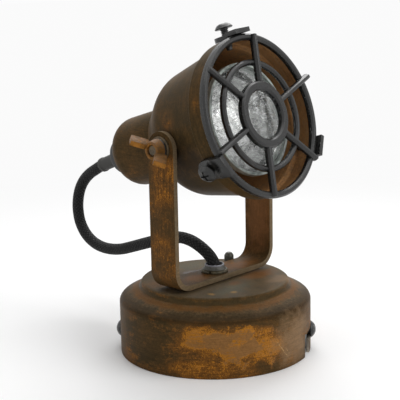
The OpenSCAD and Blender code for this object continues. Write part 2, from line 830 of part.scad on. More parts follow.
// Yoke
module bend_ring() {
    intersection() {
        difference() {
            circle(r = bend_out_r);
            circle(r = bend_r);
        }
        translate([0, -bend_out_r - 1])
            square([bend_out_r + 1, bend_out_r + 1]);
    }
}

module arm_blank() {
    union() {
        translate([-strap_w / 2, bend_z])
            square([strap_w, pivot_z - bend_z]);
        translate([0, pivot_z])
            circle(d = strap_w);
    }
}

module yoke_strap() {
    color("sienna")
        difference() {
            union() {
                translate([-bend_x, -strap_w / 2, strap_z])
                    cube([2 * bend_x, strap_w, strap_t]);
                for (side = [0, 1])
                    mirror([side, 0, 0]) {
                        translate([bend_x, strap_w / 2, bend_z])
                            rotate([90, 0, 0])
                                linear_extrude(height = strap_w)
                                    bend_ring();
                        translate([arm_in, 0, 0])
                            rotate([90, 0, 90])
                                linear_extrude(height = strap_t)
                                    arm_blank();
                    }
            }
            translate([0, 0, strap_z - over])
                cylinder(d = nipple_d + 2 * loose_fit, h = strap_t + 2 * over);
            translate([-yoke_span, 0, pivot_z])
                rotate([0, 90, 0])
                    cylinder(d = pivot_d + 2 * run_fit, h = 2 * yoke_span);
        }
}

// Head
function dome_path() = concat([[collar_r, mouth_l], [collar_r, collar_back],
    [collar_r - 0.5, collar_back - 0.8], [dome_r, collar_back - 1]],
    arc_pts(knee_c, knee_r, -front_slope, -back_slope, 6),
    [[cone_out_r, -dome_back_l], [neck_hole_r, -dome_back_l]]);

module dome_solid(grow) {
    rotate_extrude()
        polygon(concat([[0, mouth_l]], beside(dome_path(), grow), [[0, -dome_back_l - grow]]));
}

module head_shell() {
    color("saddlebrown")
        head_axis()
            difference() {
                rotate_extrude()
                    polygon(sheet(dome_path(), -shell_wall));
                translate([-collar_d, -axis_rise, 0])
                    rotate([0, 90, 0])
                        cylinder(d = pivot_d + 2 * loose_fit, h = 2 * collar_d);
                for (a = tab_turns)
                    round_head(a, 0)
                        translate([-guard_screw_l, 0, collar_r - 6])
                            cylinder(d = guard_screw_d + 2 * loose_fit, h = 12);
                for (a = ENDS)
                    rotate([0, 0, a])
                        translate([0, holder_screw_r, -dome_back_l - over])
                            cylinder(d = holder_screw_d + 2 * loose_fit, h = shell_wall + 2 * over);
            }
}

function cup_path() = concat([[cup_d / 2, cup_front]],
    arc_pts([cup_d / 2 - cup_round, cup_back + cup_round], cup_round, 0, -90, 8),
    [[gland_thread_d / 2 + loose_fit, cup_back]]);

module rear_cup() {
    color("saddlebrown")
        head_axis()
            rotate_extrude()
                polygon(sheet(cup_path(), -shell_wall));
}

module pivot_bosses() {
    color("sienna")
        for (side = SIDES)
            difference() {
                pivot_side(side)
                    translate([0, 0, waist_r - 6])
                        cylinder(d = boss_d, h = boss_out - waist_r + 6);
                head_axis()
                    dome_solid(seat_gap);
                pivot_side(side)
                    cylinder(d = pivot_d + 2 * seat_gap, h = yoke_span);
            }
}

module pivot_bolts() {
    color("dimgray")
        for (side = SIDES) {
            intersection() {
                pivot_side(side)
                    translate([0, 0, foot_in])
                        cylinder(d = pivot_head_d, h = pivot_head_d);
                head_axis()
                    dome_solid(-shell_wall - seat_gap);
            }
            pivot_side(side) {
                translate([0, 0, foot_in])
                    cylinder(d = pivot_d, h = stud_out - foot_in - stud_tip);
                translate([0, 0, stud_out - stud_tip])
                    cylinder(d1 = pivot_d, d2 = pivot_d - 2 * stud_tip, h = stud_tip);
            }
        }
}

module pivot_washers() {
    color("peru")
        for (side = SIDES)
            pivot_side(side)
                translate([0, 0, washer_in])
                    washer(pivot_washer_d, pivot_d + 2 * loose_fit, pivot_washer_t);
}

module spring_washers() {
    color("dimgray")
        for (side = SIDES)
            pivot_side(side)
                translate([0, 0, spring_in])
                    difference() {
                        washer(spring_d, pivot_d + 2 * loose_fit, spring_t);
                        rotate([0, 0, 40])
                            translate([0, -0.4, -over])
                                cube([spring_d, 0.8, spring_t + 2 * over]);
                    }
}

// Wing with a square end, from inside the hub's wall outwards
module wing_blank() {
    low = [wing_span / 2, wing_h - wing_w * cos(wing_rise)];
    high = [wing_span / 2 - wing_w * sin(wing_rise), wing_h];
    back = wing_span / 2 * [cos(wing_rise), sin(wing_rise)];
    intersection() {
        polygon([low, high, high - back, low - back]);
        translate([(pivot_d / 2 + run_fit + wing_hub_top_d / 2) / 2, wing_hub_h * 0.1])
            square([wing_span, wing_h]);
    }
}

module wing_nut() {
    difference() {
        union() {
            cylinder(d1 = wing_hub_d, d2 = wing_hub_top_d, h = wing_hub_h);
            for (a = ENDS)
                rotate([0, 0, a])
                    rotate([90, 0, 0])
                        translate([0, 0, -wing_t / 2])
                            linear_extrude(height = wing_t)
                                wing_blank();
        }
        translate([0, 0, -over])
            cylinder(d = pivot_d + 2 * run_fit, h = wing_hub_h + 2 * over);
    }
}

module wing_nut_near() {
    color("chocolate")
        pivot_side(-1)
            translate([0, 0, nut_in])
                rotate([0, 0, 90 - head_tilt - wing_near_turn])
                    wing_nut();
}

module wing_nut_far() {
    color("chocolate")
        pivot_side(1)
            translate([0, 0, nut_in])
                rotate([0, 0, 90 + wing_far_turn])
                    wing_nut();
}

// Guard
module ring_blank(d, wire, l) {
    translate([0, 0, l])
        rotate_extrude()
            translate([d / 2, 0])
                circle(d = wire);
}

module wire_ring(d, wire, l) {
    head_axis()
        ring_blank(d, wire, l);
}

module guard_outer_ring() {
    color("dimgray")
        wire_ring(guard_d, guard_wire, guard_l);
}

module guard_middle_ring() {
    color("dimgray")
        wire_ring(mid_ring_d, mid_wire, mid_l);
}

// Inner ring with round edges, grown by a gap where it is cut out of the spokes
module flat_ring(gap) {
    flat = inner_ring_w - inner_wire;
    translate([0, 0, spoke_l])
        rotate_extrude()
            union() {
                translate([(inner_ring_d - flat) / 2, -inner_wire / 2 - gap])
                    square([flat, inner_wire + 2 * gap]);
                for (x = [-flat, flat])
                    translate([(inner_ring_d + x) / 2, 0])
                        circle(d = inner_wire + 2 * gap);
            }
}

module guard_inner_ring() {
    color("dimgray")
        head_axis()
            flat_ring(0);
}

function spoke_reach(i) = i == spoke_count - 1 ? spoke_last_past
    : i == spoke_count - 2 ? spoke_next_past : spoke_past;

module guard_spokes() {
    color("dimgray")
        head_axis()
            for (i = [0 : spoke_count - 1])
                difference() {
                    rotate([0, 0, 90 + spoke_turn + 360 * i / spoke_count])
                        translate([inner_edge_r, 0, spoke_l])
                            rotate([0, 90, 0])
                                cylinder(d = spoke_d, h = guard_d / 2 - inner_edge_r + spoke_reach(i));
                    flat_ring(seat_gap);
                    ring_blank(mid_ring_d, mid_wire + 2 * seat_gap, mid_l);
                    ring_blank(guard_d, guard_wire + 2 * seat_gap, guard_l);
                }
}

// Inner face of a tab: low on the collar, then stepped up over the outer ring
function tab_path() = [[tab_rear_r, tab_back - over], [tab_rear_r, mouth_l - joggle_back],
    [tab_in_r, mouth_l - joggle_front], [tab_in_r, tab_front]];

// Outline of a tab seen from outside, with a round rear end, as [rearward, sideways]
function tab_plan() = concat([[-tab_front - over, -tab_w / 2], [-tab_front - over, tab_w / 2]],
    arc_pts([-tab_back - tab_w / 2, 0], tab_w / 2, 90, -90, 8));

module guard_tabs() {
    color("dimgray")
        head_axis()
            for (a = tab_turns)
                rotate([0, 0, a])
                    difference() {
                        intersection() {
                            translate([0, tab_w / 2 + over, 0])
                                rotate([90, 0, 0])
                                    linear_extrude(height = tab_w + 2 * over)
                                        polygon(sheet(tab_path(), -tab_t));
                            translate([tab_rear_r - over, 0, 0])
                                rotate([0, 90, 0])
                                    linear_extrude(height = tab_in_r - tab_rear_r + tab_t + 2 * over)
                                        polygon(tab_plan());
                        }
                        translate([tab_rear_r - over, 0, guard_screw_l])
                            rotate([0, 90, 0])
                                cylinder(d = guard_screw_d + 2 * loose_fit, h = tab_t + 2 * over);
                    }
}

module guard_screws() {
    color("dimgray")
        head_axis()
            for (i = [0 : 2])
                round_head(tab_turns[i], 0)
                    translate([-guard_screw_l, 0, tab_rear_r + tab_t + screw_proud[i]]) {
                        difference() {
                            dome_head(guard_head_d, guard_head_h);
                            cross_cut(guard_head_d, guard_head_h, guard_head_h * 0.5);
                        }
                        translate([0, 0, -guard_screw_len])
                            cylinder(d = guard_screw_d, h = guard_screw_len + sink);
                    }
}

// Bulb and its holder
function bowl_path(steps) = [for (i = [0 : steps]) let (l = bowl_l + (neck_l - bowl_l) * i / steps)
    [sqrt(neck_r * neck_r + bowl_k * (l - neck_l)), l]];

module bulb_reflector() {
    color("lightgray")
        head_axis()
            rotate_extrude()
                polygon(sheet(concat([[bulb_d / 2, bulb_front], [bulb_d / 2, bowl_l + 0.6]], bowl_path(10)),
                    -bulb_glass));
}

module bulb_lens() {
    color("lightblue")
        head_axis()
            translate([0, 0, lens_back])
                cylinder(r = bulb_d / 2 - bulb_glass - loose_fit, h = lens_t);
}

module bulb_capsule() {
    color("white")
        head_axis() {
            translate([0, 0, capsule_l])
                cylinder(d = capsule_d, h = capsule_len);
            translate([0, 0, capsule_l + capsule_len])
                dome_head(capsule_d, capsule_d * 0.4);
        }
}

module bulb_base() {
    color("ivory")
        head_axis()
            difference() {
                union() {
                    translate([0, 0, bulb_back])
                        cylinder(d = bulb_base_d, h = bulb_base_len - seat_gap);
                    translate([0, 0, capsule_l])
                        cylinder(r = neck_r - bulb_glass - loose_fit, h = 2 * (neck_l - capsule_l));
                }
                translate([0, 0, capsule_l - seat_gap])
                    cylinder(d = capsule_d + 2 * loose_fit, h = capsule_len);
                for (side = SIDES)
                    translate([side * pin_spacing / 2, 0, bulb_back - 1])
                        cylinder(d = pin_shank_d + 2 * seat_gap, h = pin_deep + over);
            }
}

module bulb_pins() {
    color("silver")
        head_axis()
            for (side = SIDES)
                translate([side * pin_spacing / 2, 0, bulb_back]) {
                    translate([0, 0, -pin_len + sink])
                        cylinder(d = pin_shank_d, h = pin_len + pin_deep - 2 * sink);
                    translate([0, 0, -pin_len])
                        cylinder(d = pin_head_d, h = pin_len * 0.4);
                }
}

module lamp_holder() {
    color("white")
        head_axis()
            difference() {
                union() {
                    translate([0, 0, holder_back])
                        cylinder(d = holder_d, h = holder_seat - holder_back + sink);
                    translate([0, 0, holder_seat])
                        cylinder(d = holder_flange_d, h = holder_flange_t);
                    translate([0, 0, holder_back])
                        cylinder(d = bulb_base_d, h = holder_nose - holder_back);
                }
                translate([0, 0, holder_nose])
                    cylinder(d = bulb_base_d + 2 * loose_fit, h = bulb_depth);
                for (side = SIDES)
                    translate([side * pin_spacing / 2, 0, bulb_back - pin_len - seat_gap])
                        cylinder(d = pin_head_d + 2 * loose_fit, h = bulb_depth);
                for (a = ENDS)
                    rotate([0, 0, a])
                        translate([0, holder_screw_r, holder_seat - over])
                            cylinder(d = holder_screw_d + 2 * loose_fit, h = holder_flange_t + 2 * over);
            }
}

module holder_screws() {
    color("silver")
        head_axis()
            for (a = ENDS)
                rotate([0, 0, a])
                    translate([0, holder_screw_r, 0]) {
                        translate([0, 0, -dome_back_l - holder_screw_past])
                            cylinder(d = holder_screw_d, h = holder_screw_len);
                        translate([0, 0, holder_front + seat_gap])
                            cylinder(d = 1.6 * holder_screw_d, h = holder_head_h);
                    }
}

// Gland and cord
function gland_path() = concat([[0, gland_z], [gland_d / 2, gland_z]],
    arc_pts([gland_d / 2 - gland_edge, gland_back + gland_edge], gland_edge, 0, -90, 6), [[0, gland_back]]);

module cord_gland() {
    color("black")
        head_axis()
            difference() {
                union() {
                    rotate_extrude()
                        polygon(gland_path());
                    translate([0, 0, gland_z - over])
                        cylinder(d = gland_thread_d, h = over + shell_wall + gland_nut_h + thread_past);
                }
                translate([0, 0, gland_back - over])
                    cylinder(r = gland_bore_r, h = cord_start - gland_back);
            }
}

module gland_nut() {
    color("black")
        head_axis()
            translate([0, 0, cup_back + shell_wall + seat_gap])
                difference() {
                    hex(gland_nut_af, gland_nut_h);
                    translate([0, 0, -over])
                        cylinder(d = gland_thread_d + 2 * seat_gap, h = gland_nut_h + 2 * over);
                }
}

// Frame of the drooping sleeve, at the gland's back, with lengths counted rearward
module sleeve_axis() {
    head_axis()
        translate([0, 0, gland_back])
            rotate([180 - sleeve_droop, 0, 0])
                children();
}

module gland_sleeve() {
    color("darkslategray")
        difference() {
            sleeve_axis()
                rotate_extrude()
                    polygon([[0, -2], [sleeve_d / 2, -2], [sleeve_d / 2 - 0.1, sleeve_len - 2],
                        [sleeve_d / 2 + 0.3, sleeve_len - 1.2], [sleeve_d / 2 + 0.2, sleeve_len],
                        [0, sleeve_len]]);
            sleeve_axis()
                translate([0, 0, -4])
                    cylinder(r = gland_bore_r, h = sleeve_len + 8);
            head_axis()
                translate([0, 0, gland_back - seat_gap])
                    cylinder(d = 2 * gland_d, h = gland_len + 4);
        }
}

// Point on the sleeve's axis in the row's frame
function sleeve_pt(l) = head_pt(gland_back)
    + l * [0, cos(head_tilt + sleeve_droop), -sin(head_tilt + sleeve_droop)];

// Leads from the cord's end to the lamp holder's back
module lamp_leads() {
    color("ivory")
        head_axis()
            for (side = SIDES)
                translate([side * 0.75 * lead_d, 0, cord_start + sink])
                    cylinder(d = lead_d, h = holder_back - cord_start - sink - seat_gap);
}

// Route point moved along with the sleeve's end and the bush's mouth
function route_pt(i) = let (share = i / (len(route_free) - 1), end = sleeve_pt(sleeve_len),
    at_sleeve = [end[1], end[2]] - route_sleeve, at_mouth = [0, bush_top] - route_mouth,
    p = route_free[i] + (1 - share) * at_sleeve + share * at_mouth)
    [0, p[0], p[1]];

module head_cord() {
    in_gland = [head_pt(cord_start), head_pt(cord_start - 4), head_pt(gland_back)];
    in_sleeve = [for (share = [0.25, 0.6, 1]) sleeve_pt(sleeve_len * share)];
    free = [for (i = [0 : len(route_free) - 1]) route_pt(i)];
    in_nipple = [[0, 0, (free[len(free) - 1][2] + cord_low) / 2], [0, 0, cord_low]];
    color("black")
        tube(smooth(concat(in_gland, in_sleeve, free, in_nipple), 2), cord_d, cord_sides, [1, 0, 0]);
}

base_canopy();
mounting_bracket();
canopy_screws();
stop_pin();
stop_nut();
terminal_block();
terminal_screws();
block_screw();
earth_screw();
base_leads();
swivel_nipple();
swivel_washer();
grip_nut();
cord_bush();
under_washer();
lock_nut();
yoke_strap();
head_shell();
rear_cup();
pivot_bosses();
pivot_bolts();
pivot_washers();
spring_washers();
wing_nut_near();
wing_nut_far();
guard_outer_ring();
guard_middle_ring();
guard_inner_ring();
guard_spokes();
guard_tabs();
guard_screws();
lamp_holder();
holder_screws();
bulb_reflector();
bulb_lens();
bulb_capsule();
bulb_base();
bulb_pins();
cord_gland();
gland_nut();
gland_sleeve();
lamp_leads();
head_cord();
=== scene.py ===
"""Spotlight on a swivelling yoke: rusted sheet steel, a wire guard, a reflector bulb and a textile cord."""

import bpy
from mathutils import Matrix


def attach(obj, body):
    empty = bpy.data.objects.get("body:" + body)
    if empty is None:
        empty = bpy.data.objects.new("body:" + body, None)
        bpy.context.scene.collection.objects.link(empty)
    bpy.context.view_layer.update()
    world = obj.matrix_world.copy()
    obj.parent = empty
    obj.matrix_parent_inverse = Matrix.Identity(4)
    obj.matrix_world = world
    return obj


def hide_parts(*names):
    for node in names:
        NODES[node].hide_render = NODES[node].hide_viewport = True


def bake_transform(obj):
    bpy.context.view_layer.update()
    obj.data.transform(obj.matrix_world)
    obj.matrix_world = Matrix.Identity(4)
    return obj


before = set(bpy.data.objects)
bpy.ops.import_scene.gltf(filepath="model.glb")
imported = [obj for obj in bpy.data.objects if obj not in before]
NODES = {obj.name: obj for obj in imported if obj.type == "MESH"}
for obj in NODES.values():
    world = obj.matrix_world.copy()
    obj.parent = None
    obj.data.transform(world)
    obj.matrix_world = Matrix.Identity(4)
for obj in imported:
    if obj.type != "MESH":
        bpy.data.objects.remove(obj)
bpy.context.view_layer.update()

import math

import bpy
import numpy as np
from bpy.props import FloatProperty, FloatVectorProperty, IntProperty, PointerProperty
from mathutils import Matrix, Vector

bl_info = {
    "name": "Spotlight on a yoke",
    "version": (1, 0, 0),
    "blender": (4, 5, 0),
    "location": "View3D > Sidebar > Spotlight",
    "description": "Dresses the spotlight's frame: rusted sheet, guard, bulb, wing nuts and cord",
    "category": "Object",
}

MM = 0.001

# Frame of the head: local z runs forward along the head's axis, local y up, local x along the tilt axis
PIVOT = Vector((0, 0, 97.4)) * MM
TILT = math.radians(17)
RISE = 4 * MM
HEAD = (Matrix.Translation(PIVOT) @ Matrix.Rotation(-TILT, 4, "X") @ Matrix.Translation((0, 0, RISE))
        @ Matrix.Rotation(math.radians(90), 4, "X"))


# Settings

def colour(name, description, default):
    return FloatVectorProperty(name=name, description=description, default=default, subtype="COLOR", size=3,
                               min=0, max=1)


def length(name, description, default):
    return FloatProperty(name=name, description=description, default=default * MM, unit="LENGTH", min=0,
                         precision=5)


class LampColours(bpy.types.PropertyGroup):
    """Colours of the spotlight's finishes"""
    patina: colour("Patina", "Dark olive brown of the rusted sheet", (0.047, 0.031, 0.013))
    umber: colour("Umber", "Middle brown of the rusted sheet", (0.08, 0.044, 0.016))
    russet: colour("Russet", "Thin rust on the sheet", (0.17, 0.07, 0.016))
    orange: colour("Orange rust", "Fresh rust in the patches", (0.43, 0.17, 0.02))
    mauve: colour("Old rust", "Worn rust in the middle of the patches", (0.2, 0.105, 0.042))
    dust: colour("Dust", "Olive grey film on faces that look up", (0.12, 0.095, 0.058))
    nut_rust: colour("Nut rust", "Pale rust of the wing nuts", (0.172, 0.088, 0.036))
    charcoal: colour("Charcoal", "Enamel of the guard", (0.01, 0.01, 0.0097))
    screw: colour("Blackened steel", "Screws and pins", (0.02, 0.02, 0.0195))
    zinc: colour("Zinc", "Plated pieces inside the lamp", (0.42, 0.43, 0.43))
    silver: colour("Silvering", "Coating of the reflector", (0.98, 0.985, 0.98))
    textile: colour("Textile", "Braid of the cord", (0.008, 0.008, 0.008))
    rubber: colour("Rubber", "Sleeve on the cord", (0.026, 0.025, 0.022))


class LampSizes(bpy.types.PropertyGroup):
    """Sizes of the spotlight's details"""
    cord_d: length("Cord diameter", "Diameter of the textile cord", 5.6)
    strap_edge: length("Strap edge", "Rounding of the strap's edges", 0.45)
    sheet_edge: length("Sheet edge", "Rounding of the collar's and the rim's edges", 0.4)
    thread_pitch: length("Thread pitch", "Pitch of the visible threads", 0.7)
    sides: IntProperty(name="Turned sides", description="Sides of the turned pieces", default=144, min=48, max=256)
    facets: IntProperty(name="Facets", description="Facets round the reflector", default=60, min=16, max=64)


class LampStage(bpy.types.PropertyGroup):
    """Light and camera"""
    lens: FloatProperty(name="Lens", description="Focal length on a 36 mm sensor", default=100.93, unit="CAMERA")
    key: FloatProperty(name="Key light", description="Power of the large softbox behind", default=5.2, unit="POWER")
    top: FloatProperty(name="Top light", description="Power of the light overhead", default=3.6, unit="POWER")
    side: FloatProperty(name="Side light", description="Power of the light on the right", default=4.8, unit="POWER")
    fill: FloatProperty(name="Fill light", description="Power of the light on the left", default=1.1, unit="POWER")
    world: FloatProperty(name="World", description="Strength of the plain white surround", default=0.3, min=0)


# Shader expressions

class Shade:
    """A socket on its way through a finish. Arithmetic on it adds Math nodes."""

    def __init__(self, finish, socket):
        self.finish = finish
        self.socket = socket

    def join(self, operation, first, second):
        return self.finish.node("ShaderNodeMath", {"operation": operation}, {0: first, 1: second})

    def __add__(self, other):
        return self.join("ADD", self, other)

    def __radd__(self, other):
        return self.join("ADD", other, self)

    def __sub__(self, other):
        return self.join("SUBTRACT", self, other)

    def __rsub__(self, other):
        return self.join("SUBTRACT", other, self)

    def __mul__(self, other):
        return self.join("MULTIPLY", self, other)

    def __rmul__(self, other):
        return self.join("MULTIPLY", other, self)


class Finish:
    """A node material under construction."""

    def __init__(self, name):
        self.material = bpy.data.materials.new(name)
        self.material.use_nodes = True
        self.tree = self.material.node_tree
        self.tree.nodes.clear()

    def node(self, kind, settings=None, values=None, out=0):
        made = self.tree.nodes.new(kind)
        for key, value in (settings or {}).items():
            setattr(made, key, value)
        for key, value in (values or {}).items():
            socket = made.inputs[key]
            if isinstance(value, Shade):
                self.tree.links.new(value.socket, socket)
            elif socket.type == "RGBA":
                socket.default_value = (*value[:3], 1)
            else:
                socket.default_value = value
        return Shade(self, made.outputs[out]) if made.outputs else None

    def place(self, stretch=(1, 1, 1), shift=(0, 0, 0), home=None):
        """Object coordinates in millimetres, seen from a piece's own frame where one is given."""
        at = self.node("ShaderNodeTexCoord", out="Object")
        turn = (0, 0, 0)
        if home is not None:
            back = home.inverted()
            turn = tuple(back.to_euler())
            shift = tuple(back.to_translation() / MM)
        return self.node("ShaderNodeMapping", None, {
            "Vector": at, "Location": shift, "Rotation": turn, "Scale": tuple(s / MM for s in stretch)})

    def stretched(self, at, factors):
        return self.node("ShaderNodeVectorMath", {"operation": "MULTIPLY"}, {0: at, 1: factors})

    def noise(self, at, size, detail=5, roughness=0.6, warp=0.0):
        return self.node("ShaderNodeTexNoise", None, {
            "Vector": at, "Scale": 1 / size, "Detail": detail, "Roughness": roughness, "Distortion": warp})

    def cells(self, at, size, feature="F1", out="Distance"):
        return self.node("ShaderNodeTexVoronoi", {"feature": feature}, {"Vector": at, "Scale": 1 / size}, out)

    def step(self, value, low, high):
        return self.node("ShaderNodeMapRange", {"interpolation_type": "SMOOTHSTEP"}, {
            "Value": value, "From Min": low, "From Max": high, "To Min": 0, "To Max": 1})

    def axis(self, vector, name):
        return self.node("ShaderNodeSeparateXYZ", None, {0: vector}, name)

    def size(self, value):
        return self.node("ShaderNodeMath", {"operation": "ABSOLUTE"}, {0: value})

    def sine(self, value):
        return self.node("ShaderNodeMath", {"operation": "SINE"}, {0: value})

    def spot(self, at, centre, reach, core=0.35, ragged=0.0):
        """1 at a place on the piece, fading to 0 at its reach along each axis."""
        apart = self.node("ShaderNodeVectorMath", {"operation": "SUBTRACT"}, {0: at, 1: centre})
        scaled = self.node("ShaderNodeVectorMath", {"operation": "DIVIDE"}, {0: apart, 1: reach})
        far = self.node("ShaderNodeVectorMath", {"operation": "LENGTH"}, {0: scaled}, "Value")
        return 1 - self.step(far + ragged, core, 1.0)

    def band(self, level, low, high, fade):
        """1 between two levels, with soft ends."""
        return self.step(level, low - fade, low + fade) - self.step(level, high - fade, high + fade)

    def mix(self, mask, first, second, mode="MIX"):
        return self.node("ShaderNodeMix", {"data_type": "RGBA", "blend_type": mode}, {
            0: mask, 6: first, 7: second}, 2)

    def bump(self, height, depth, strength=1.0):
        return self.node("ShaderNodeBump", None, {"Height": height, "Distance": depth * MM, "Strength": strength})

    def surface(self, **sockets):
        names = {key.replace("_", " ").title().replace("Ior", "IOR"): value for key, value in sockets.items()}
        shader = self.node("ShaderNodeBsdfPrincipled", None, names)
        self.node("ShaderNodeOutputMaterial", None, {"Surface": shader})
        return self.material


# Modelling by hand

def rest():
    """Object mode with nothing selected."""
    if bpy.context.object and bpy.context.object.mode != "OBJECT":
        bpy.ops.object.mode_set(mode="OBJECT")
    bpy.ops.object.select_all(action="DESELECT")


def take(obj, mode="OBJECT"):
    """The one object that the next operators act on."""
    rest()
    obj.select_set(True)
    bpy.context.view_layer.objects.active = obj
    if mode == "EDIT":
        bpy.ops.object.mode_set(mode="EDIT")
        bpy.ops.mesh.select_all(action="SELECT")
    return obj


def set_down(obj, matrix=None):
    """Puts a piece in place and applies it, so that the object sits at the origin."""
    take(obj)
    if matrix is not None:
        obj.matrix_world = matrix @ obj.matrix_world
    bpy.ops.object.transform_apply(location=True, rotation=True, scale=True)
    return obj


def rounded(points, steps=6, loop=True):
    """Outline with its corners rounded: a point is (radius, height) or (radius, height, rounding)."""
    out = []
    for i, point in enumerate(points):
        round_by = point[2] if len(point) > 2 else 0
        if not round_by or (not loop and i in (0, len(points) - 1)):
            out.append(point[:2])
            continue
        before, here, after = (Vector(points[j % len(points)][:2]) for j in (i - 1, i, i + 1))
        u, w = (before - here).normalized(), (after - here).normalized()
        half = u.angle(w) / 2
        centre = here + (u + w).normalized() * (round_by / math.sin(half))
        first = here + u * (round_by / math.tan(half)) - centre
        last = here + w * (round_by / math.tan(half)) - centre
        for k in range(steps + 1):
            out.append(tuple(centre + first.normalized().slerp(last.normalized(), k / steps) * round_by))
    return out


def turned(name, outline, sides, loop=True):
    """Piece turned about Z: a circle is extruded and scaled from one outline point to the next."""
    rest()
    pole = 0.01
    points = [(max(r, pole) * MM, z * MM) for r, z in outline]
    if loop:
        points.append(points[0])
    bpy.ops.mesh.primitive_circle_add(vertices=sides, radius=points[0][0], location=(0, 0, points[0][1]),
                                      fill_type="NOTHING")
    obj = bpy.context.object
    obj.name = name
    bpy.ops.object.mode_set(mode="EDIT")
    bpy.ops.mesh.select_all(action="SELECT")
    for (r0, z0), (r1, z1) in zip(points, points[1:]):
        bpy.ops.mesh.extrude_region_move(TRANSFORM_OT_translate={"value": (0, 0, z1 - z0)})
        bpy.ops.transform.resize(value=(r1 / r0, r1 / r0, 1), center_override=(0, 0, z1))
    bpy.ops.mesh.select_all(action="SELECT")
    bpy.ops.mesh.remove_doubles(threshold=1.2e-5)
    bpy.ops.mesh.normals_make_consistent(inside=False)
    bpy.ops.object.mode_set(mode="OBJECT")
    return set_down(obj)


def modified(obj, kind, **settings):
    """Adds a modifier and applies it."""
    take(obj)
    modifier = obj.modifiers.new(kind.title(), kind)
    for key, value in settings.items():
        setattr(modifier, key, value)
    bpy.ops.object.modifier_apply(modifier=modifier.name)
    return obj


def bevelled(obj, width, segments=3, angle=40):
    return modified(obj, "BEVEL", width=width * MM, segments=segments, limit_method="ANGLE",
                    angle_limit=math.radians(angle), harden_normals=False, use_clamp_overlap=True)


def softened(node, name, width, segments=2):
    """Copy of a CAD node, merged, with its flat faces joined and its edges rounded."""
    obj = bpy.data.objects.new(name, NODES[node].data.copy())
    bpy.context.scene.collection.objects.link(obj)
    take(obj, "EDIT")
    bpy.ops.mesh.remove_doubles(threshold=2e-6)
    bpy.ops.mesh.dissolve_limited(angle_limit=math.radians(1))
    bpy.ops.mesh.normals_make_consistent(inside=False)
    bpy.ops.object.mode_set(mode="OBJECT")
    return bevelled(obj, width, segments)


def copied(obj, matrix):
    """Copy of a piece with its own mesh, set down elsewhere."""
    other = bpy.data.objects.new(obj.name + "_copy", obj.data.copy())
    bpy.context.scene.collection.objects.link(other)
    return set_down(other, matrix)


def joined(first, *others):
    take(first)
    for obj in others:
        obj.select_set(True)
    bpy.context.view_layer.objects.active = first
    bpy.ops.object.join()
    return first


def finished(obj, body, material, slot, *nodes, angle=32):
    """Last touches on a piece: smooth shading, material, the body it moves with and the nodes it stands for."""
    take(obj)
    bpy.ops.object.shade_smooth_by_angle(angle=math.radians(angle))
    upward = obj.data.attributes.new("up", "FLOAT", "CORNER")
    upward.data.foreach_set("value", [normal.vector.z for normal in obj.data.corner_normals])
    if material:
        obj.data.materials.clear()
        obj.data.materials.append(material)
    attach(obj, body)
    if nodes:
        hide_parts(*nodes)
    return obj


def lined(obj, home, outside, inside):
    """Gives the faces that look at a turned piece's axis a finish of their own."""
    obj.data.materials.clear()
    obj.data.materials.append(outside)
    obj.data.materials.append(inside)
    back = home.inverted()
    for face in obj.data.polygons:
        at, way = back @ face.center, back.to_3x3() @ face.normal
        face.material_index = int(at.x * way.x + at.y * way.y < -0.1 * math.hypot(at.x, at.y))
    return obj


def painted(material, *nodes):
    """Puts a finish on CAD nodes that stay as they are."""
    for node in nodes:
        NODES[node].data.materials.clear()
        NODES[node].data.materials.append(material)


# Finishes

FINISHES = {}


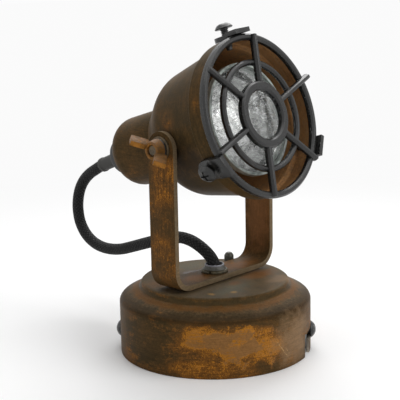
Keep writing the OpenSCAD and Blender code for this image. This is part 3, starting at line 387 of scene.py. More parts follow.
def rust(name, seed, warmth=0.0, spots=(), bands=(), along="Z", home=None, lines=(0.2, 0.2, 2.6), film=0.6,
         stains=(), marks=()):
    """Rusted sheet under worn varnish.

    Spots are (frame, place, reach, strength) of more or less rust. Bands are (low, high, fade, colour, strength)
    along one axis of the piece's frame. Lines stretch the brushed marks in that frame. Stains are (frame, place,
    reach, colour, strength) of one colour: real stains, and on some pieces painted highlights and painted shade.
    Marks are (frame, reach, colour, strength) of rubbed lines."""
    tint = bpy.context.scene.lamp_colours
    f = Finish(name)
    at = f.place(shift=(seed * 37.0, seed * 19.0, seed * 53.0))
    here = f.place(home=home)
    wide = f.noise(at, 20, 4, 0.55) - 0.5
    patch = f.noise(at, 6.5, 6, 0.68, 0.2) - 0.5
    grain = f.noise(at, 1.3, 6, 0.75) - 0.5
    speck = f.noise(at, 0.42, 3, 0.7) - 0.5
    brushed = f.noise(f.stretched(here, lines), 1.3, 5, 0.66) - 0.5
    amount = wide * 1.0 + patch * 0.75 + warmth
    edge = patch * 1.9 + grain * 1.1 + brushed * 0.9
    for spot_home, centre, reach, strength in spots:
        amount = amount + f.spot(f.place(home=spot_home), centre, reach, 0.62, edge) * strength
    ragged = amount + grain * 0.75 + speck * 0.55 + brushed * 0.7
    base = f.mix(f.step(ragged, -0.38, 0.1), tint.patina, tint.umber)
    base = f.mix(f.step(ragged, 0.02, 0.34), base, tint.russet)
    rusty = f.step(ragged + speck * 0.5, 0.3, 0.5)
    base = f.mix(rusty * 0.9, base, tint.orange)
    base = f.mix(f.step(amount + brushed * 1.3 + grain * 0.7, 0.46, 0.66) * 0.85, base, tint.mauve)
    up = f.node("ShaderNodeAttribute", {"attribute_name": "up"}, out="Fac")
    dusty = f.step(up + wide * 0.8 + grain * 0.4, 0.45, 1.05) * film * (1 - rusty * 0.7)
    base = f.mix(dusty, base, tint.dust)
    level = f.axis(here, along) + grain * 2.4 + patch * 2.0
    for low, high, fade, tone, strength in bands:
        base = f.mix(f.band(level, low, high, fade) * strength, base, tone)
    for stain_home, centre, reach, tone, strength in stains:
        stain = f.spot(f.place(home=stain_home), centre, reach, 0.25, patch * 1.4 + grain * 0.8)
        base = f.mix(stain * strength, base, tone)
    for mark_home, reach, tone, strength in marks:
        line = f.spot(f.place(home=mark_home), (0, 0, 0), reach, 0.5) * f.step(grain + speck * 0.8, -0.12, 0.12)
        base = f.mix(line * strength, base, tone)
    pits = (1 - f.step(f.cells(at, 1.0), 0.1, 0.26)) * f.step(patch + grain, 0.02, 0.2)
    base = f.mix(pits * 0.5, base, (0.02, 0.013, 0.007))
    base = f.mix(1.0, base, 1.0 + grain * 0.8 + speck * 0.8 + brushed * 0.9, "MULTIPLY")
    rough = 0.46 + rusty * 0.22 + grain * 0.3 + brushed * 0.25
    height = grain * 0.5 + speck * 0.4 + brushed * 0.3 + rusty * 0.2 - pits * 0.5
    return f.surface(base_color=base, roughness=rough, metallic=0.0, specular_ior_level=0.05,
                     specular_tint=(1.0, 0.74, 0.46), normal=f.bump(height, 0.1, 0.8))


def nut_rust(name, seed, tone):
    """Paler, orange rust on the wing nuts."""
    tint = bpy.context.scene.lamp_colours
    f = Finish(name)
    at = f.place(shift=(seed * 11.0, seed * 7.0, seed * 5.0))
    wide = f.noise(at, 6, 5, 0.6, 0.3)
    fine = f.noise(at, 1.0, 6, 0.7)
    speck = f.noise(at, 0.3, 3, 0.7)
    brown = f.step(wide + fine * 0.35, 0.58, 0.8)
    under = f.node("ShaderNodeAttribute", {"attribute_name": "up"}, out="Fac") * -1 + (wide - 0.5) * 2 + (fine - 0.5)
    base = f.mix(f.step(under, -0.3, 0.35) * 0.85, tone, tint.orange)
    base = f.mix(brown * 0.8, base, tint.umber)
    base = f.mix(f.step(fine + speck * 0.3, 0.66, 0.84) * 0.6, base, tint.orange)
    base = f.mix(f.step(speck, 0.58, 0.7) * 0.2, base, (0.42, 0.26, 0.13))
    return f.surface(base_color=base, roughness=0.42 + brown * 0.2, metallic=0.0, specular_ior_level=0.1,
                     specular_tint=(1.0, 0.82, 0.62),
                     normal=f.bump(fine * 0.6 + speck * 0.4, 0.1, 0.8))


def enamel(name, tone):
    """Charcoal enamel of the guard, with rubbed places."""
    f = Finish(name)
    at = f.place()
    wide = f.noise(at, 9, 5, 0.6)
    fine = f.noise(at, 0.8, 4, 0.65)
    worn = f.step(wide + fine * 0.3, 0.76, 0.9)
    base = f.mix(f.step(fine, 0.35, 0.7) * 0.6, tone, tuple(c * 1.9 for c in tone))
    base = f.mix(worn * 0.4, base, (0.09, 0.08, 0.068))
    return f.surface(base_color=base, roughness=0.17 + wide * 0.2, metallic=0.1 + worn * 0.2,
                     specular_ior_level=0.5, normal=f.bump(fine, 0.05, 0.7))


def blackened(name, tone, wear=0.5):
    """Blackened steel of the screws, with brighter metal on the rubbed places."""
    f = Finish(name)
    at = f.place()
    wide = f.noise(at, 2.6, 5, 0.6)
    fine = f.noise(at, 0.45, 3, 0.6)
    worn = f.step(wide + fine * 0.5, 0.76, 1.02) * wear
    base = f.mix(worn, tone, (0.26, 0.25, 0.23))
    return f.surface(base_color=base, roughness=0.26 + fine * 0.16, metallic=0.15, specular_ior_level=0.45,
                     normal=f.bump(fine, 0.03, 0.7))


def plated(name, tone, rough=0.36):
    """Plated or plain metal with faint streaks and stains."""
    f = Finish(name)
    at = f.place()
    stain = f.noise(at, 5, 5, 0.6, 0.5)
    streak = f.noise(f.place((1, 1, 6)), 1.0, 4, 0.6)
    base = f.mix(f.step(stain, 0.4, 0.75) * 0.5, tone, tuple(c * 0.55 for c in tone))
    return f.surface(base_color=base, roughness=rough + streak * 0.18, metallic=0.9,
                     normal=f.bump(streak, 0.02, 0.5))


def dull_zinc(name, low, high, lip_z=None):
    """Dull cast metal in two tones, paler at the lip where one is given."""
    f = Finish(name)
    at = f.place()
    stain = f.noise(at, 2.2, 5, 0.65)
    fine = f.noise(at, 0.4, 4, 0.65)
    base = f.mix(f.step(stain, 0.3, 0.7), low, high)
    if lip_z is not None:
        lip = f.step(f.axis(at, "Z") + stain * 0.8, lip_z, lip_z + 1.1)
        base = f.mix(lip * 0.8, base, (0.3, 0.3, 0.34))
    return f.surface(base_color=base, roughness=0.42 + fine * 0.2, metallic=0.3, normal=f.bump(fine, 0.05, 0.6))


def moulded(name, tone, rough, grain=0.6, depth=0.02, spread=1.5):
    """Moulded plastic, rubber or ceramic with a fine skin."""
    f = Finish(name)
    at = f.place()
    cloud = f.noise(at, 6, 4, 0.6)
    skin = f.noise(at, grain, 4, 0.6)
    base = f.mix(f.step(cloud, 0.35, 0.75) * 0.6, tone, tuple(min(c * spread, 1) for c in tone))
    return f.surface(base_color=base, roughness=rough + skin * 0.14, normal=f.bump(skin, depth, 0.7))


def braid(name):
    """Braided textile on the cord: two families of strands that cross, along the cord's own UV map."""
    tint = bpy.context.scene.lamp_colours
    f = Finish(name)
    uv = f.node("ShaderNodeTexCoord", out="UV")
    across, along = f.axis(uv, "X") * 10.0, f.axis(uv, "Y") * 0.5
    left = f.size(f.sine((across + along) * math.pi))
    right = f.size(f.sine((across - along) * math.pi))
    strand = left * right
    fuzz = f.noise(f.place(), 0.26, 4, 0.7)
    wear = f.noise(f.place(), 14, 4, 0.6)
    # Darker between the strands: painted shade in the gaps of the weave.
    base = f.mix(f.step(strand + fuzz * 0.35, 0.3, 0.85), tuple(c * 0.25 for c in tint.textile), tint.textile)
    base = f.mix(f.step(strand + fuzz * 0.6 + wear * 0.35, 1.1, 1.4) * 0.45, base, (0.03, 0.03, 0.028))
    return f.surface(base_color=base, roughness=0.5 + fuzz * 0.25, specular_ior_level=0.22,
                     normal=f.bump(strand * 0.9 + fuzz * 0.3, 0.4, 1.0))


def silvering(name):
    """Silver coating of the facetted reflector: bright where it is deep, streaked and greyer towards the rim."""
    tint = bpy.context.scene.lamp_colours
    f = Finish(name)
    here = f.place(home=HEAD)
    chance = f.node("ShaderNodeAttribute", {"attribute_name": "facet"}, out="Fac")
    lines = f.noise(f.stretched(here, (0.22, 2.4, 0.5)), 1.0, 4, 0.68)
    flecks = f.noise(f.stretched(here, (0.8, 2.0, 0.8)), 0.8, 3, 0.7)
    cloud = f.noise(here, 5, 4, 0.6)
    shade = chance + (lines - 0.5) * 1.6 + (cloud - 0.5) * 0.9
    base = f.mix(f.step(shade, 0.05, 0.35), (0.58, 0.585, 0.58), tint.silver)
    shallow = f.step(f.axis(here, "Z") + (cloud - 0.5) * 14, 4, 13)
    base = f.mix(shallow * f.step(lines, 0.42, 0.56) * 0.72, base, (0.25, 0.255, 0.25))
    base = f.mix(f.step(flecks, 0.58, 0.66) * (0.14 + shallow * 0.6), base, (0.08, 0.082, 0.08))
    return f.surface(base_color=base, roughness=0.04 + cloud * 0.08, metallic=1.0, normal=f.bump(lines, 0.16, 0.8))


def clear_glass(name, tone):
    """Clear glass: a thin mirror in front of what lies behind, with faint wipe marks."""
    f = Finish(name)
    smear = f.noise(f.place((1, 1, 3)), 4, 4, 0.6)
    base = f.mix(smear, tone, tuple(c * 0.9 for c in tone))
    return f.surface(base_color=base, roughness=0.02 + smear * 0.05, metallic=1.0, alpha=0.04 + smear * 0.05)


def milky_glass(name, tone):
    """Pressed glass of the bulb's rim, greenish and a little cloudy."""
    f = Finish(name)
    here = f.place(home=HEAD)
    cloud = f.noise(here, 3, 4, 0.6)
    lines = f.noise(f.stretched(here, (0.3, 0.3, 4)), 1.0, 3, 0.6)
    base = f.mix(f.step(lines + cloud * 0.3, 0.5, 0.8), tone, tuple(c * 0.45 for c in tone))
    return f.surface(base_color=base, roughness=0.12 + cloud * 0.1, specular_ior_level=0.6,
                     normal=f.bump(lines, 0.05, 0.5))


def make_finishes():
    tint = bpy.context.scene.lamp_colours
    dark_olive, pale_highlight_and_wear, ochre = (0.05, 0.036, 0.017), (0.22, 0.165, 0.1), (0.4, 0.22, 0.06)
    moss = (0.1, 0.092, 0.058)
    # worn is pale worn rust, and on the canopy's right-hand wall also painted sheen; lavender is a painted highlight
    # where it lies on the strap.
    worn, lavender, warm = (0.23, 0.142, 0.074), (0.24, 0.22, 0.23), (0.19, 0.078, 0.022)
    front = Matrix.Rotation(math.radians(-134), 4, "Z")
    right = Matrix.Rotation(math.radians(-96.5), 4, "Z")
    scratch = right @ Matrix.Translation((44 * MM, 0, 9 * MM)) @ Matrix.Rotation(math.radians(-51), 4, "X")
    FINISHES.update(
        canopy=rust("canopy_rust", 1.0, 0.0, film=0.62, spots=[
            (front, (44, -8, 18.5), (18, 13, 6.5), 0.42), (front, (44, 5, 15), (18, 14, 9.5), 0.42),
            (front, (44, 20, 12), (18, 13, 9), 0.4), (front, (44, 12, 20), (18, 14, 3.4), 0.2),
            (front, (44, -4, 3), (18, 30, 6), 0.22), (front, (44, -14, 9), (18, 24, 10), 0.17), (front, (40, 30, 8), (18, 14, 10), 0.12),
            # This spot of less rust darkens the left-hand wall: partly its darker rust, partly painted shade on the
            # side turned from the light on the right.
            (front, (30, -33, 15), (18, 14, 15), -0.3),
            (None, (20, 40, 12), (26, 14, 12), 0.4), (None, (40, -14, 10), (10, 16, 12), 0.25)],
            bands=[(24.2, 27.6, 1.1, (0.022, 0.011, 0.004), 0.62), (28.4, 29.9, 0.6, (0.16, 0.066, 0.016), 0.65),
                   (30.2, 32.0, 0.35, dark_olive, 0.7)],
            # The first stain lightens the right-hand wall: partly its paler worn rust, partly painted sheen where
            # the light from the right falls.
            stains=[(right, (44, 9, 12), (9, 20, 16), worn, 0.9), (None, (16, -13, 33), (15, 7, 4), warm, 0.75),
                    (None, (-9, -19, 33), (16, 7, 4), moss, 0.8), (None, (-2, -14, 33), (5, 4, 4), warm, 0.6),
                    (None, (16, -25, 33), (12, 7, 4), worn, 0.7), (None, (-20, 12, 33), (14, 10, 4), warm, 0.5),
                    (None, (-2, 13, 33), (6, 5, 4), lavender, 0.6), (None, (8, 22, 33), (14, 8, 4), moss, 0.7),
                    (None, (-21.3, -16.7, 33), (1.9, 2.6, 3), ochre, 0.75),
                    (None, (-12.8, -22.5, 33), (2.2, 1.9, 3), ochre, 0.6)],
            marks=[(scratch, (8, 8.2, 0.28), (0.5, 0.33, 0.14), 0.8),
                   (scratch @ Matrix.Translation((0, 3 * MM, 1.6 * MM)), (8, 4, 0.2), (0.5, 0.33, 0.14), 0.7)]),
        yoke=rust("yoke_rust", 2.3, -0.02, film=0.1, lines=(2.6, 2.6, 0.16), spots=[
            (None, (-34, -2, 84), (8, 12, 15), 0.2), (None, (-34, 0, 48), (9, 12, 15), 0.2),
            (None, (34, 0, 60), (8, 12, 24), 0.16)],
            # The lavender-grey stain left of the bush is a painted highlight on the strap's flat, over some wear.
            stains=[(None, (-5, 8, 36), (7, 3, 3), lavender, 0.55), (None, (16, -2, 36), (15, 7, 3), warm, 0.7),
                    # The last stain lightens the far arm's inner face: painted light on a face that lies in the
                    # head's shadow.
                    (None, (-14, -1, 36), (11, 6, 3), warm, 0.75), (None, (31.3, 0, 62), (3, 12, 34), (0.26, 0.115, 0.045), 0.8)]),
        # The pale edge finish is a painted highlight along the strap's edges and rounded tops, with some edge wear.
        strap_edge=rust("strap_edge_highlight_and_wear", 2.9, -0.05, film=0.2, bands=[(-50, 150, 1, pale_highlight_and_wear, 0.7)]),
        shell=rust("shell_rust", 3.1, -0.18, home=HEAD, film=0.2, spots=[
            (HEAD, (-29, 7, 4), (8, 7, 6), 0.3), (HEAD, (-34, 9, 26), (5, 5, 3), 0.24),
            (HEAD, (10, 30, 10), (26, 12, 16), 0.16), (HEAD, (30, -8, 8), (10, 16, 12), 0.2)],
            # The first dark stain, low on the dome beside the near arm, is painted shade.
            stains=[(HEAD, (-28, -11, 11), (9, 13, 13), (0.02, 0.014, 0.009), 0.7),
                    (HEAD, (24, 20, 4), (14, 12, 14), (0.025, 0.019, 0.011), 0.5)],
            # The pale band at the collar's step is a painted highlight on that edge; the fainter pale band at the
            # collar's front rim is painted highlight with some edge wear.
            bands=[(20.9, 21.7, 0.3, pale_highlight_and_wear, 0.6), (28.7, 30, 0.3, pale_highlight_and_wear, 0.3)]),
        lining=rust("lining_rust", 5.2, 0.46, home=HEAD, film=0.0, bands=[(-30, 40, 1, (0.4, 0.24, 0.13), 0.5)]),
        cup=rust("cup_rust", 4.7, -0.1, film=0.15),
        nut=nut_rust("wing_nut_rust", 1.0, tint.nut_rust),
        washer=dull_zinc("washer_olive", (0.04, 0.028, 0.014), (0.13, 0.09, 0.045)),
        olive=dull_zinc("strap_nut_olive", (0.03, 0.024, 0.012), (0.1, 0.08, 0.04)),
        guard=enamel("guard_enamel", tint.charcoal),
        # The tabs take a darker copy of the guard's enamel, as painted shade.
        tab=enamel("tab_enamel_painted_shade", tuple(c * 0.7 for c in tint.charcoal)),
        screw=blackened("blackened_steel", tint.screw),
        pin=blackened("stop_pin_steel", (0.075, 0.072, 0.056), 0.3),
        zinc=plated("zinc_plate", tint.zinc),
        bush=dull_zinc("bush_zinc", (0.05, 0.047, 0.036), (0.11, 0.108, 0.095), 39.1),
        steel=plated("cut_steel", (0.5, 0.44, 0.36), 0.35),
        brass=plated("plain_brass", (0.6, 0.42, 0.16), 0.3),
        nylon=moulded("black_nylon", (0.02, 0.02, 0.02), 0.4, 0.5),
        rubber=moulded("grey_rubber", tint.rubber, 0.55, 0.4),
        terminal=moulded("white_nylon", (0.6, 0.59, 0.55), 0.42, 0.8, 0.02, 1.2),
        ceramic=moulded("plain_ceramic", (0.64, 0.62, 0.57), 0.5, 0.5, 0.02, 1.15),
        wire=moulded("wire_skin", (0.2, 0.06, 0.02), 0.35, 0.7, 0.01, 1.6),
        braid=braid("textile_braid"),
        silver=silvering("reflector_silver"),
        glass=clear_glass("front_glass", (0.95, 0.98, 0.96)),
        rim=milky_glass("rim_glass", (0.5, 0.56, 0.52)),
    )


# Cord

SLEEVE_DROOP = math.radians(22)
GLAND_BACK = -60.14
SLEEVE_LEN = 15.6
CORD_IN_GLAND = (-47.32, -51.32, GLAND_BACK)
CORD_FREE = [(78, 75.2), (82.8, 72.4), (87.2, 68.6), (90.4, 64), (92.3, 58.6), (92.8, 52.6), (91.4, 46.2),
             (87.6, 40.8), (82, 37.2), (75.4, 35.6), (68.4, 35.6), (61.4, 36.8), (54.4, 39), (47.4, 41.4),
             (40.4, 43.8), (33.6, 46.2), (27, 48), (20.8, 48.8), (15, 48.4), (9.8, 46.8), (5.4, 44.6), (2.2, 42.2),
             (0.5, 39.8), (0, 37.6), (0, 35.6)]
CORD_LOW = 24.5


def on_axis(along):
    """Point on the head's axis, in metres."""
    return HEAD @ Vector((0, 0, along * MM))


def on_sleeve(along):
    """Point on the drooping sleeve's axis, counted rearward from the gland."""
    return on_axis(GLAND_BACK) + Vector((0, math.cos(SLEEVE_DROOP), -math.sin(SLEEVE_DROOP))) * along * MM


def cord_route():
    points = [on_axis(along) for along in CORD_IN_GLAND]
    points += [on_sleeve(SLEEVE_LEN * share) for share in (0.25, 0.6, 1)]
    points += [Vector((0, y, z)) * MM for y, z in CORD_FREE]
    low = Vector((0, 0, CORD_LOW)) * MM
    return points + [(points[-1] + low) / 2, low]


def smooth_route(points, steps):
    """Smooth curve through the route's points."""
    out = []
    for i in range(len(points) - 1):
        a, b = points[max(i - 1, 0)], points[i]
        c, d = points[i + 1], points[min(i + 2, len(points) - 1)]
        for k in range(steps):
            t = k / steps
            out.append(0.5 * (2 * b + (c - a) * t + (2 * a - 5 * b + 4 * c - d) * t * t
                              + (3 * b - a - 3 * c + d) * t * t * t))
    return out + [points[-1]]


def tube(name, path, radius, sides):
    """Tube mesh along a path, with a UV map that runs round and along it, in millimetres along."""
    rings, faces, uvs = [], [], []
    gone = [0.0]
    for i, point in enumerate(path):
        ahead = (path[min(i + 1, len(path) - 1)] - path[max(i - 1, 0)]).normalized()
        side = Vector((1, 0, 0))
        side = (side - ahead * side.dot(ahead)).normalized()
        other = ahead.cross(side)
        rings += [point + (side * math.cos(a) + other * math.sin(a)) * radius
                  for a in (2 * math.pi * k / sides for k in range(sides))]
        if i:
            gone.append(gone[-1] + (point - path[i - 1]).length)
    for i in range(len(path) - 1):
        for k in range(sides):
            n = (k + 1) % sides
            faces.append((i * sides + k, i * sides + n, (i + 1) * sides + n, (i + 1) * sides + k))
            uvs.append([(k / sides, gone[i] / MM), ((k + 1) / sides, gone[i] / MM),
                        ((k + 1) / sides, gone[i + 1] / MM), (k / sides, gone[i + 1] / MM)])
    last = (len(path) - 1) * sides
    faces += [tuple(range(sides))[::-1], tuple(last + k for k in range(sides))]
    uvs += [[(0, 0)] * sides, [(0, gone[-1] / MM)] * sides]
    mesh = bpy.data.meshes.new(name)
    mesh.from_pydata(rings, [], faces)
    layer = mesh.uv_layers.new(name="braid")
    layer.data.foreach_set("uv", np.array([c for face in uvs for p in face for c in p], dtype=np.float32))
    obj = bpy.data.objects.new(name, mesh)
    bpy.context.scene.collection.objects.link(obj)
    take(obj, "EDIT")
    bpy.ops.mesh.normals_make_consistent(inside=False)
    bpy.ops.object.mode_set(mode="OBJECT")
    return obj


class LAMP_OT_cord(bpy.types.Operator):
    """Textile cord from the gland to the bush on the strap"""
    bl_idname = "lamp.cord"
    bl_label = "Cord"

    def execute(self, context):
        sizes = context.scene.lamp_sizes
        path, sides = smooth_route(cord_route(), 8), 24
        obj = tube("textile_cord", path, sizes.cord_d / 2, sides)
        take(obj)
        bpy.ops.object.shade_smooth_by_angle(angle=math.radians(50))
        obj.data.materials.append(FINISHES["braid"])
        # Each ring is moved onto the centre line while the object's transform is applied, then put back
        shape = [vertex.co.copy() for vertex in obj.data.vertices]
        for i, vertex in enumerate(obj.data.vertices):
            vertex.co = path[i // sides]
        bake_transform(obj)
        for vertex, place in zip(obj.data.vertices, shape):
            vertex.co = place
        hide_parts("head_cord")
        total = sum((b - a).length for a, b in zip(path, path[1:]))
        return {"FINISHED"}


# Stage

AZIMUTH, ELEVATION, ROLL = (math.radians(a) for a in (-47.62, 11.95, -1.10))
DISTANCE, ACROSS, HEIGHT = 509.3 * MM, -6.1 * MM, 69.47 * MM


def camera_axes():
    back = Vector((math.sin(AZIMUTH) * math.cos(ELEVATION), -math.cos(AZIMUTH) * math.cos(ELEVATION),
                   math.sin(ELEVATION)))
    right = Vector((math.cos(AZIMUTH), math.sin(AZIMUTH), 0))
    up = back.cross(right)
    turned_right = right * math.cos(ROLL) + up * math.sin(ROLL)
    turned_up = up * math.cos(ROLL) - right * math.sin(ROLL)
    return turned_right, turned_up, back


def softbox(name, place, aim, size, power):
    rest()
    bpy.ops.object.light_add(type="AREA", location=place)
    lamp = bpy.context.object
    lamp.name = name
    lamp.data.shape = "RECTANGLE"
    lamp.data.size, lamp.data.size_y = size
    lamp.data.energy = power
    lamp.rotation_euler = (Vector(place) - Vector(aim)).to_track_quat("Z", "Y").to_euler()
    return lamp


class LAMP_OT_stage(bpy.types.Operator):
    """Camera, floor and light"""
    bl_idname = "lamp.stage"
    bl_label = "Stage"

    def execute(self, context):
        scene, stage = context.scene, context.scene.lamp_stage
        scene.view_settings.view_transform = "Standard"
        right, up, back = camera_axes()
        rest()
        bpy.ops.object.camera_add()
        camera = context.object
        place = right * ACROSS + Vector((0, 0, HEIGHT)) + back * DISTANCE
        camera.matrix_world = Matrix.Translation(place) @ Matrix((right, up, back)).transposed().to_4x4()
        camera.data.lens = stage.lens
        camera.data.sensor_width = 36
        camera.data.clip_start, camera.data.clip_end = 0.01, 20
        scene.camera = camera

        rest()
        bpy.ops.mesh.primitive_plane_add(size=8, location=(0, 0, 0))
        floor = context.object
        floor.name = "floor"
        floor.data.materials.append(self.floor_paint())

        across = Vector((right.x, right.y, 0)).normalized()
        near = Vector((back.x, back.y, 0)).normalized()
        aim = (0, 0, 0.07)
        softbox("key", across * 0.1 - near * 0.6 + Vector((0, 0, 0.8)), aim, (0.7, 0.6), stage.key)
        softbox("top", Vector((0, 0, 1.0)), aim, (0.9, 0.9), stage.top)
        softbox("side", across * 0.78 + near * 0.42 + Vector((0, 0, 0.66)), aim, (0.8, 0.8), stage.side)
        softbox("fill", across * -0.9 + near * 0.45 + Vector((0, 0, 0.35)), aim, (0.6, 0.6), stage.fill)

        world = bpy.data.worlds.new("studio")
        scene.world = world
        world.use_nodes = True
        tree = world.node_tree
        tree.nodes.clear()
        path = tree.nodes.new("ShaderNodeLightPath")
        seen = self.seen(tree, path)
        paint = tree.nodes.new("ShaderNodeBackground")
        paint.inputs["Color"].default_value = (0.97, 0.97, 0.97, 1)
        strength = tree.nodes.new("ShaderNodeMapRange")
        tree.links.new(seen, strength.inputs["Value"])
        strength.inputs["To Min"].default_value = stage.world
        strength.inputs["To Max"].default_value = 1.0
        tree.links.new(strength.outputs[0], paint.inputs["Strength"])
        out = tree.nodes.new("ShaderNodeOutputWorld")
        tree.links.new(paint.outputs[0], out.inputs["Surface"])
        return {"FINISHED"}

    @staticmethod
    def seen(tree, path):
        """1 on rays that the camera, a gloss or a glass sends out."""
        value = path.outputs["Is Camera Ray"]
        for name in ("Is Glossy Ray", "Is Transmission Ray"):
            larger = tree.nodes.new("ShaderNodeMath")
            larger.operation = "MAXIMUM"
            tree.links.new(value, larger.inputs[0])
            tree.links.new(path.outputs[name], larger.inputs[1])
            value = larger.outputs[0]
        return value

    def floor_paint(self):
        """Pale floor that keeps the shadow near the lamp and is seen as white farther off."""
        f = Finish("pale_floor")
        at = f.place()
        cloud = f.noise(at, 300, 3, 0.5)
        seen = Shade(f, self.seen(f.tree, f.tree.nodes.new("ShaderNodeLightPath")))
        far = 1 - f.spot(at, (0, 0, 0), (420, 420, 420), 0.2)
        tone = f.mix(cloud * 0.3, (0.93, 0.93, 0.93), (0.91, 0.91, 0.91))
        plain = f.node("ShaderNodeBsdfDiffuse", None, {"Color": tone})
        glow = f.node("ShaderNodeEmission", None, {"Color": (0.96, 0.96, 0.96), "Strength": 1.0})
        both = f.node("ShaderNodeMixShader", None, {0: seen * far, 1: plain, 2: glow})
        f.node("ShaderNodeOutputMaterial", None, {"Surface": both})
        return f.material


# Base

def bayonet_cutters():
    """Bodies that cut the two hooked slots into the rim."""
    turn, hook = -52.5, 15.5
    in_r, deep, slot_h, screw_z, entry_w = 39.8, 7.2, 4.8, 8.5, 7.0
    leg = 44 * math.sin(math.radians(hook / 2))
    top = screw_z + slot_h / 2
    level = ((in_r, -leg, screw_z - slot_h / 2), (in_r + deep, leg + slot_h / 2, top))
    entry = ((in_r, -entry_w / 2, -1), (in_r + deep, entry_w / 2, top - 0.3))
    made = []
    for half in (0, 180):
        for angle, (low, high) in ((-hook / 2, level), (-hook, entry)):
            low, high = Vector(low) * MM, Vector(high) * MM
            rest()
            bpy.ops.mesh.primitive_cube_add(size=1, location=(low + high) / 2)
            box = bpy.context.object
            box.scale = high - low
            made.append(set_down(box, Matrix.Rotation(math.radians(turn + half + angle), 4, "Z")))
    return made


class LAMP_OT_canopy(bpy.types.Operator):
    """Pressed-steel canopy of the base with its two hooked slots, side screws and stop pin"""
    bl_idname = "lamp.canopy"
    bl_label = "Base canopy"

    def execute(self, context):
        sizes = context.scene.lamp_sizes
        edge = sizes.sheet_edge / MM
        outline = rounded([
            (44, 0, edge * 0.9), (44, 12), (44, 25.48, 3.2), (38, 28.47), (34.95, 29.99, 1.3), (33.6, 33.06, 1.5),
            (31.6, 33.08), (25, 33.17), (14, 33.27), (4.1, 33.27, 0.3), (4.1, 32.07), (14, 32.07), (25, 31.97),
            (32.4, 31.86, 0.7), (34.1, 29.1, 2.0), (42.8, 24.74, 2.0), (42.8, 0, 0.25)])
        canopy = turned("base_canopy_sheet", outline, sizes.sides)
        canopy.data.materials.append(FINISHES["canopy"])
        for cutter in bayonet_cutters():
            cutter.data.materials.append(FINISHES["steel"])
            modified(canopy, "BOOLEAN", operation="DIFFERENCE", object=cutter, solver="EXACT",
                     material_mode="TRANSFER")
            bpy.data.objects.remove(cutter)
        finished(canopy, "base", None, "rusted_sheet", "base_canopy", angle=35)
        finished(softened("canopy_screws", "side_screw_heads", 0.22), "base", FINISHES["screw"], "dark_screw",
                 "canopy_screws")
        pin = turned("stop_pin_dome", rounded([
            (0, 38.86), (1.4, 38.6, 1.6), (2.3, 37.2, 1.2), (2.3, 33.3, 0.3), (2.9, 33.12), (1.8, 33.1),
            (1.8, 27.0, 0.3), (0, 26.92)], loop=False), 48, loop=False)
        turn = math.radians(25.52)
        set_down(pin, Matrix.Translation((25.2 * MM * math.cos(turn), 25.2 * MM * math.sin(turn), 0)))
        finished(pin, "base", FINISHES["pin"], "dark_screw", "stop_pin")
        return {"FINISHED"}


# Yoke

class LAMP_OT_yoke(bpy.types.Operator):
    """Flat strap bent to a U, with round arm tops, and the nut and bush on it"""
    bl_idname = "lamp.yoke"
    bl_label = "Yoke"

    def execute(self, context):
        sizes = context.scene.lamp_sizes
        strap_z, thick, width = 33.69, 2.3, 15.0
        bend, arm = 9.3, 33.6
        run = arm - bend
        rest()
        bpy.ops.mesh.primitive_plane_add(size=1, location=(0, 0, strap_z * MM))
        strap = context.object
        strap.name = "yoke_strap_bent"
        strap.scale = (2 * run * MM, width * MM, 1)
        set_down(strap)
        for side in (-1, 1):
            take(strap, "EDIT")
            bpy.ops.mesh.select_all(action="DESELECT")
            bpy.ops.object.mode_set(mode="OBJECT")
            for edge in strap.data.edges:
                ends = [strap.data.vertices[v].co for v in edge.vertices]
                edge.select = all(abs(end.x - side * run * MM) < 1e-6 and abs(end.z - strap_z * MM) < 1e-6
                                  for end in ends)
            bpy.ops.object.mode_set(mode="EDIT")
            bpy.ops.mesh.select_mode(type="EDGE")
            bpy.ops.mesh.spin(steps=14, angle=side * math.pi / 2, axis=(0, 1, 0),
                              center=(side * run * MM, 0, (strap_z + bend) * MM))
            for z0, z1 in ((strap_z + bend, 70), (70, PIVOT.z / MM)):
                bpy.ops.mesh.extrude_region_move(TRANSFORM_OT_translate={"value": (0, 0, (z1 - z0) * MM)})
            steps = 14
            for k in range(steps):
                a0, a1 = (math.radians(88.5) * j / steps for j in (k, k + 1))
                rise = width / 2 * (math.sin(a1) - math.sin(a0)) * MM
                bpy.ops.mesh.extrude_region_move(TRANSFORM_OT_translate={"value": (0, 0, rise)})
                bpy.ops.transform.resize(value=(1, math.cos(a1) / math.cos(a0), 1), center_override=(0, 0, 0))
            bpy.ops.object.mode_set(mode="OBJECT")
        take(strap, "EDIT")
        bpy.ops.mesh.remove_doubles(threshold=1e-6)
        bpy.ops.mesh.normals_make_consistent(inside=False)
        bpy.ops.object.mode_set(mode="OBJECT")
        low = min(strap.data.polygons, key=lambda p: p.center.z)
        modified(strap, "SOLIDIFY", thickness=thick * MM, offset=1 if low.normal.z > 0 else -1,
                 use_even_offset=True)
        bevelled(strap, sizes.strap_edge / MM, 3, 50)
        strap.data.materials.append(FINISHES["yoke"])
        strap.data.materials.append(FINISHES["strap_edge"])
        # Edge faces and the round tops' edges take the pale edge finish: painted highlight with some edge wear.
        for face in strap.data.polygons:
            tip = face.center.z > PIVOT.z and abs(face.normal.x) < 0.6
            face.material_index = int(tip or abs(face.normal.y) > 0.45)
        finished(strap, "yoke", None, "rusted_sheet", "yoke_strap", angle=35)

        nut = softened("grip_nut", "strap_nut", 0.18)
        finished(nut, "yoke", FINISHES["olive"], "rusted_fastener", "grip_nut")
        bush = turned("cord_bush_flare", rounded([
            (5.3, 37.43, 0.15), (5.15, 37.8, 0.4), (4.55, 38.5, 0.8), (4.4, 39.76, 0.3), (3.9, 39.76, 0.25),
            (3.3, 38.4, 0.5), (3.22, 37.43)]), 72)
        finished(bush, "yoke", FINISHES["bush"], "bush_zinc", "cord_bush")
        return {"FINISHED"}


# Head

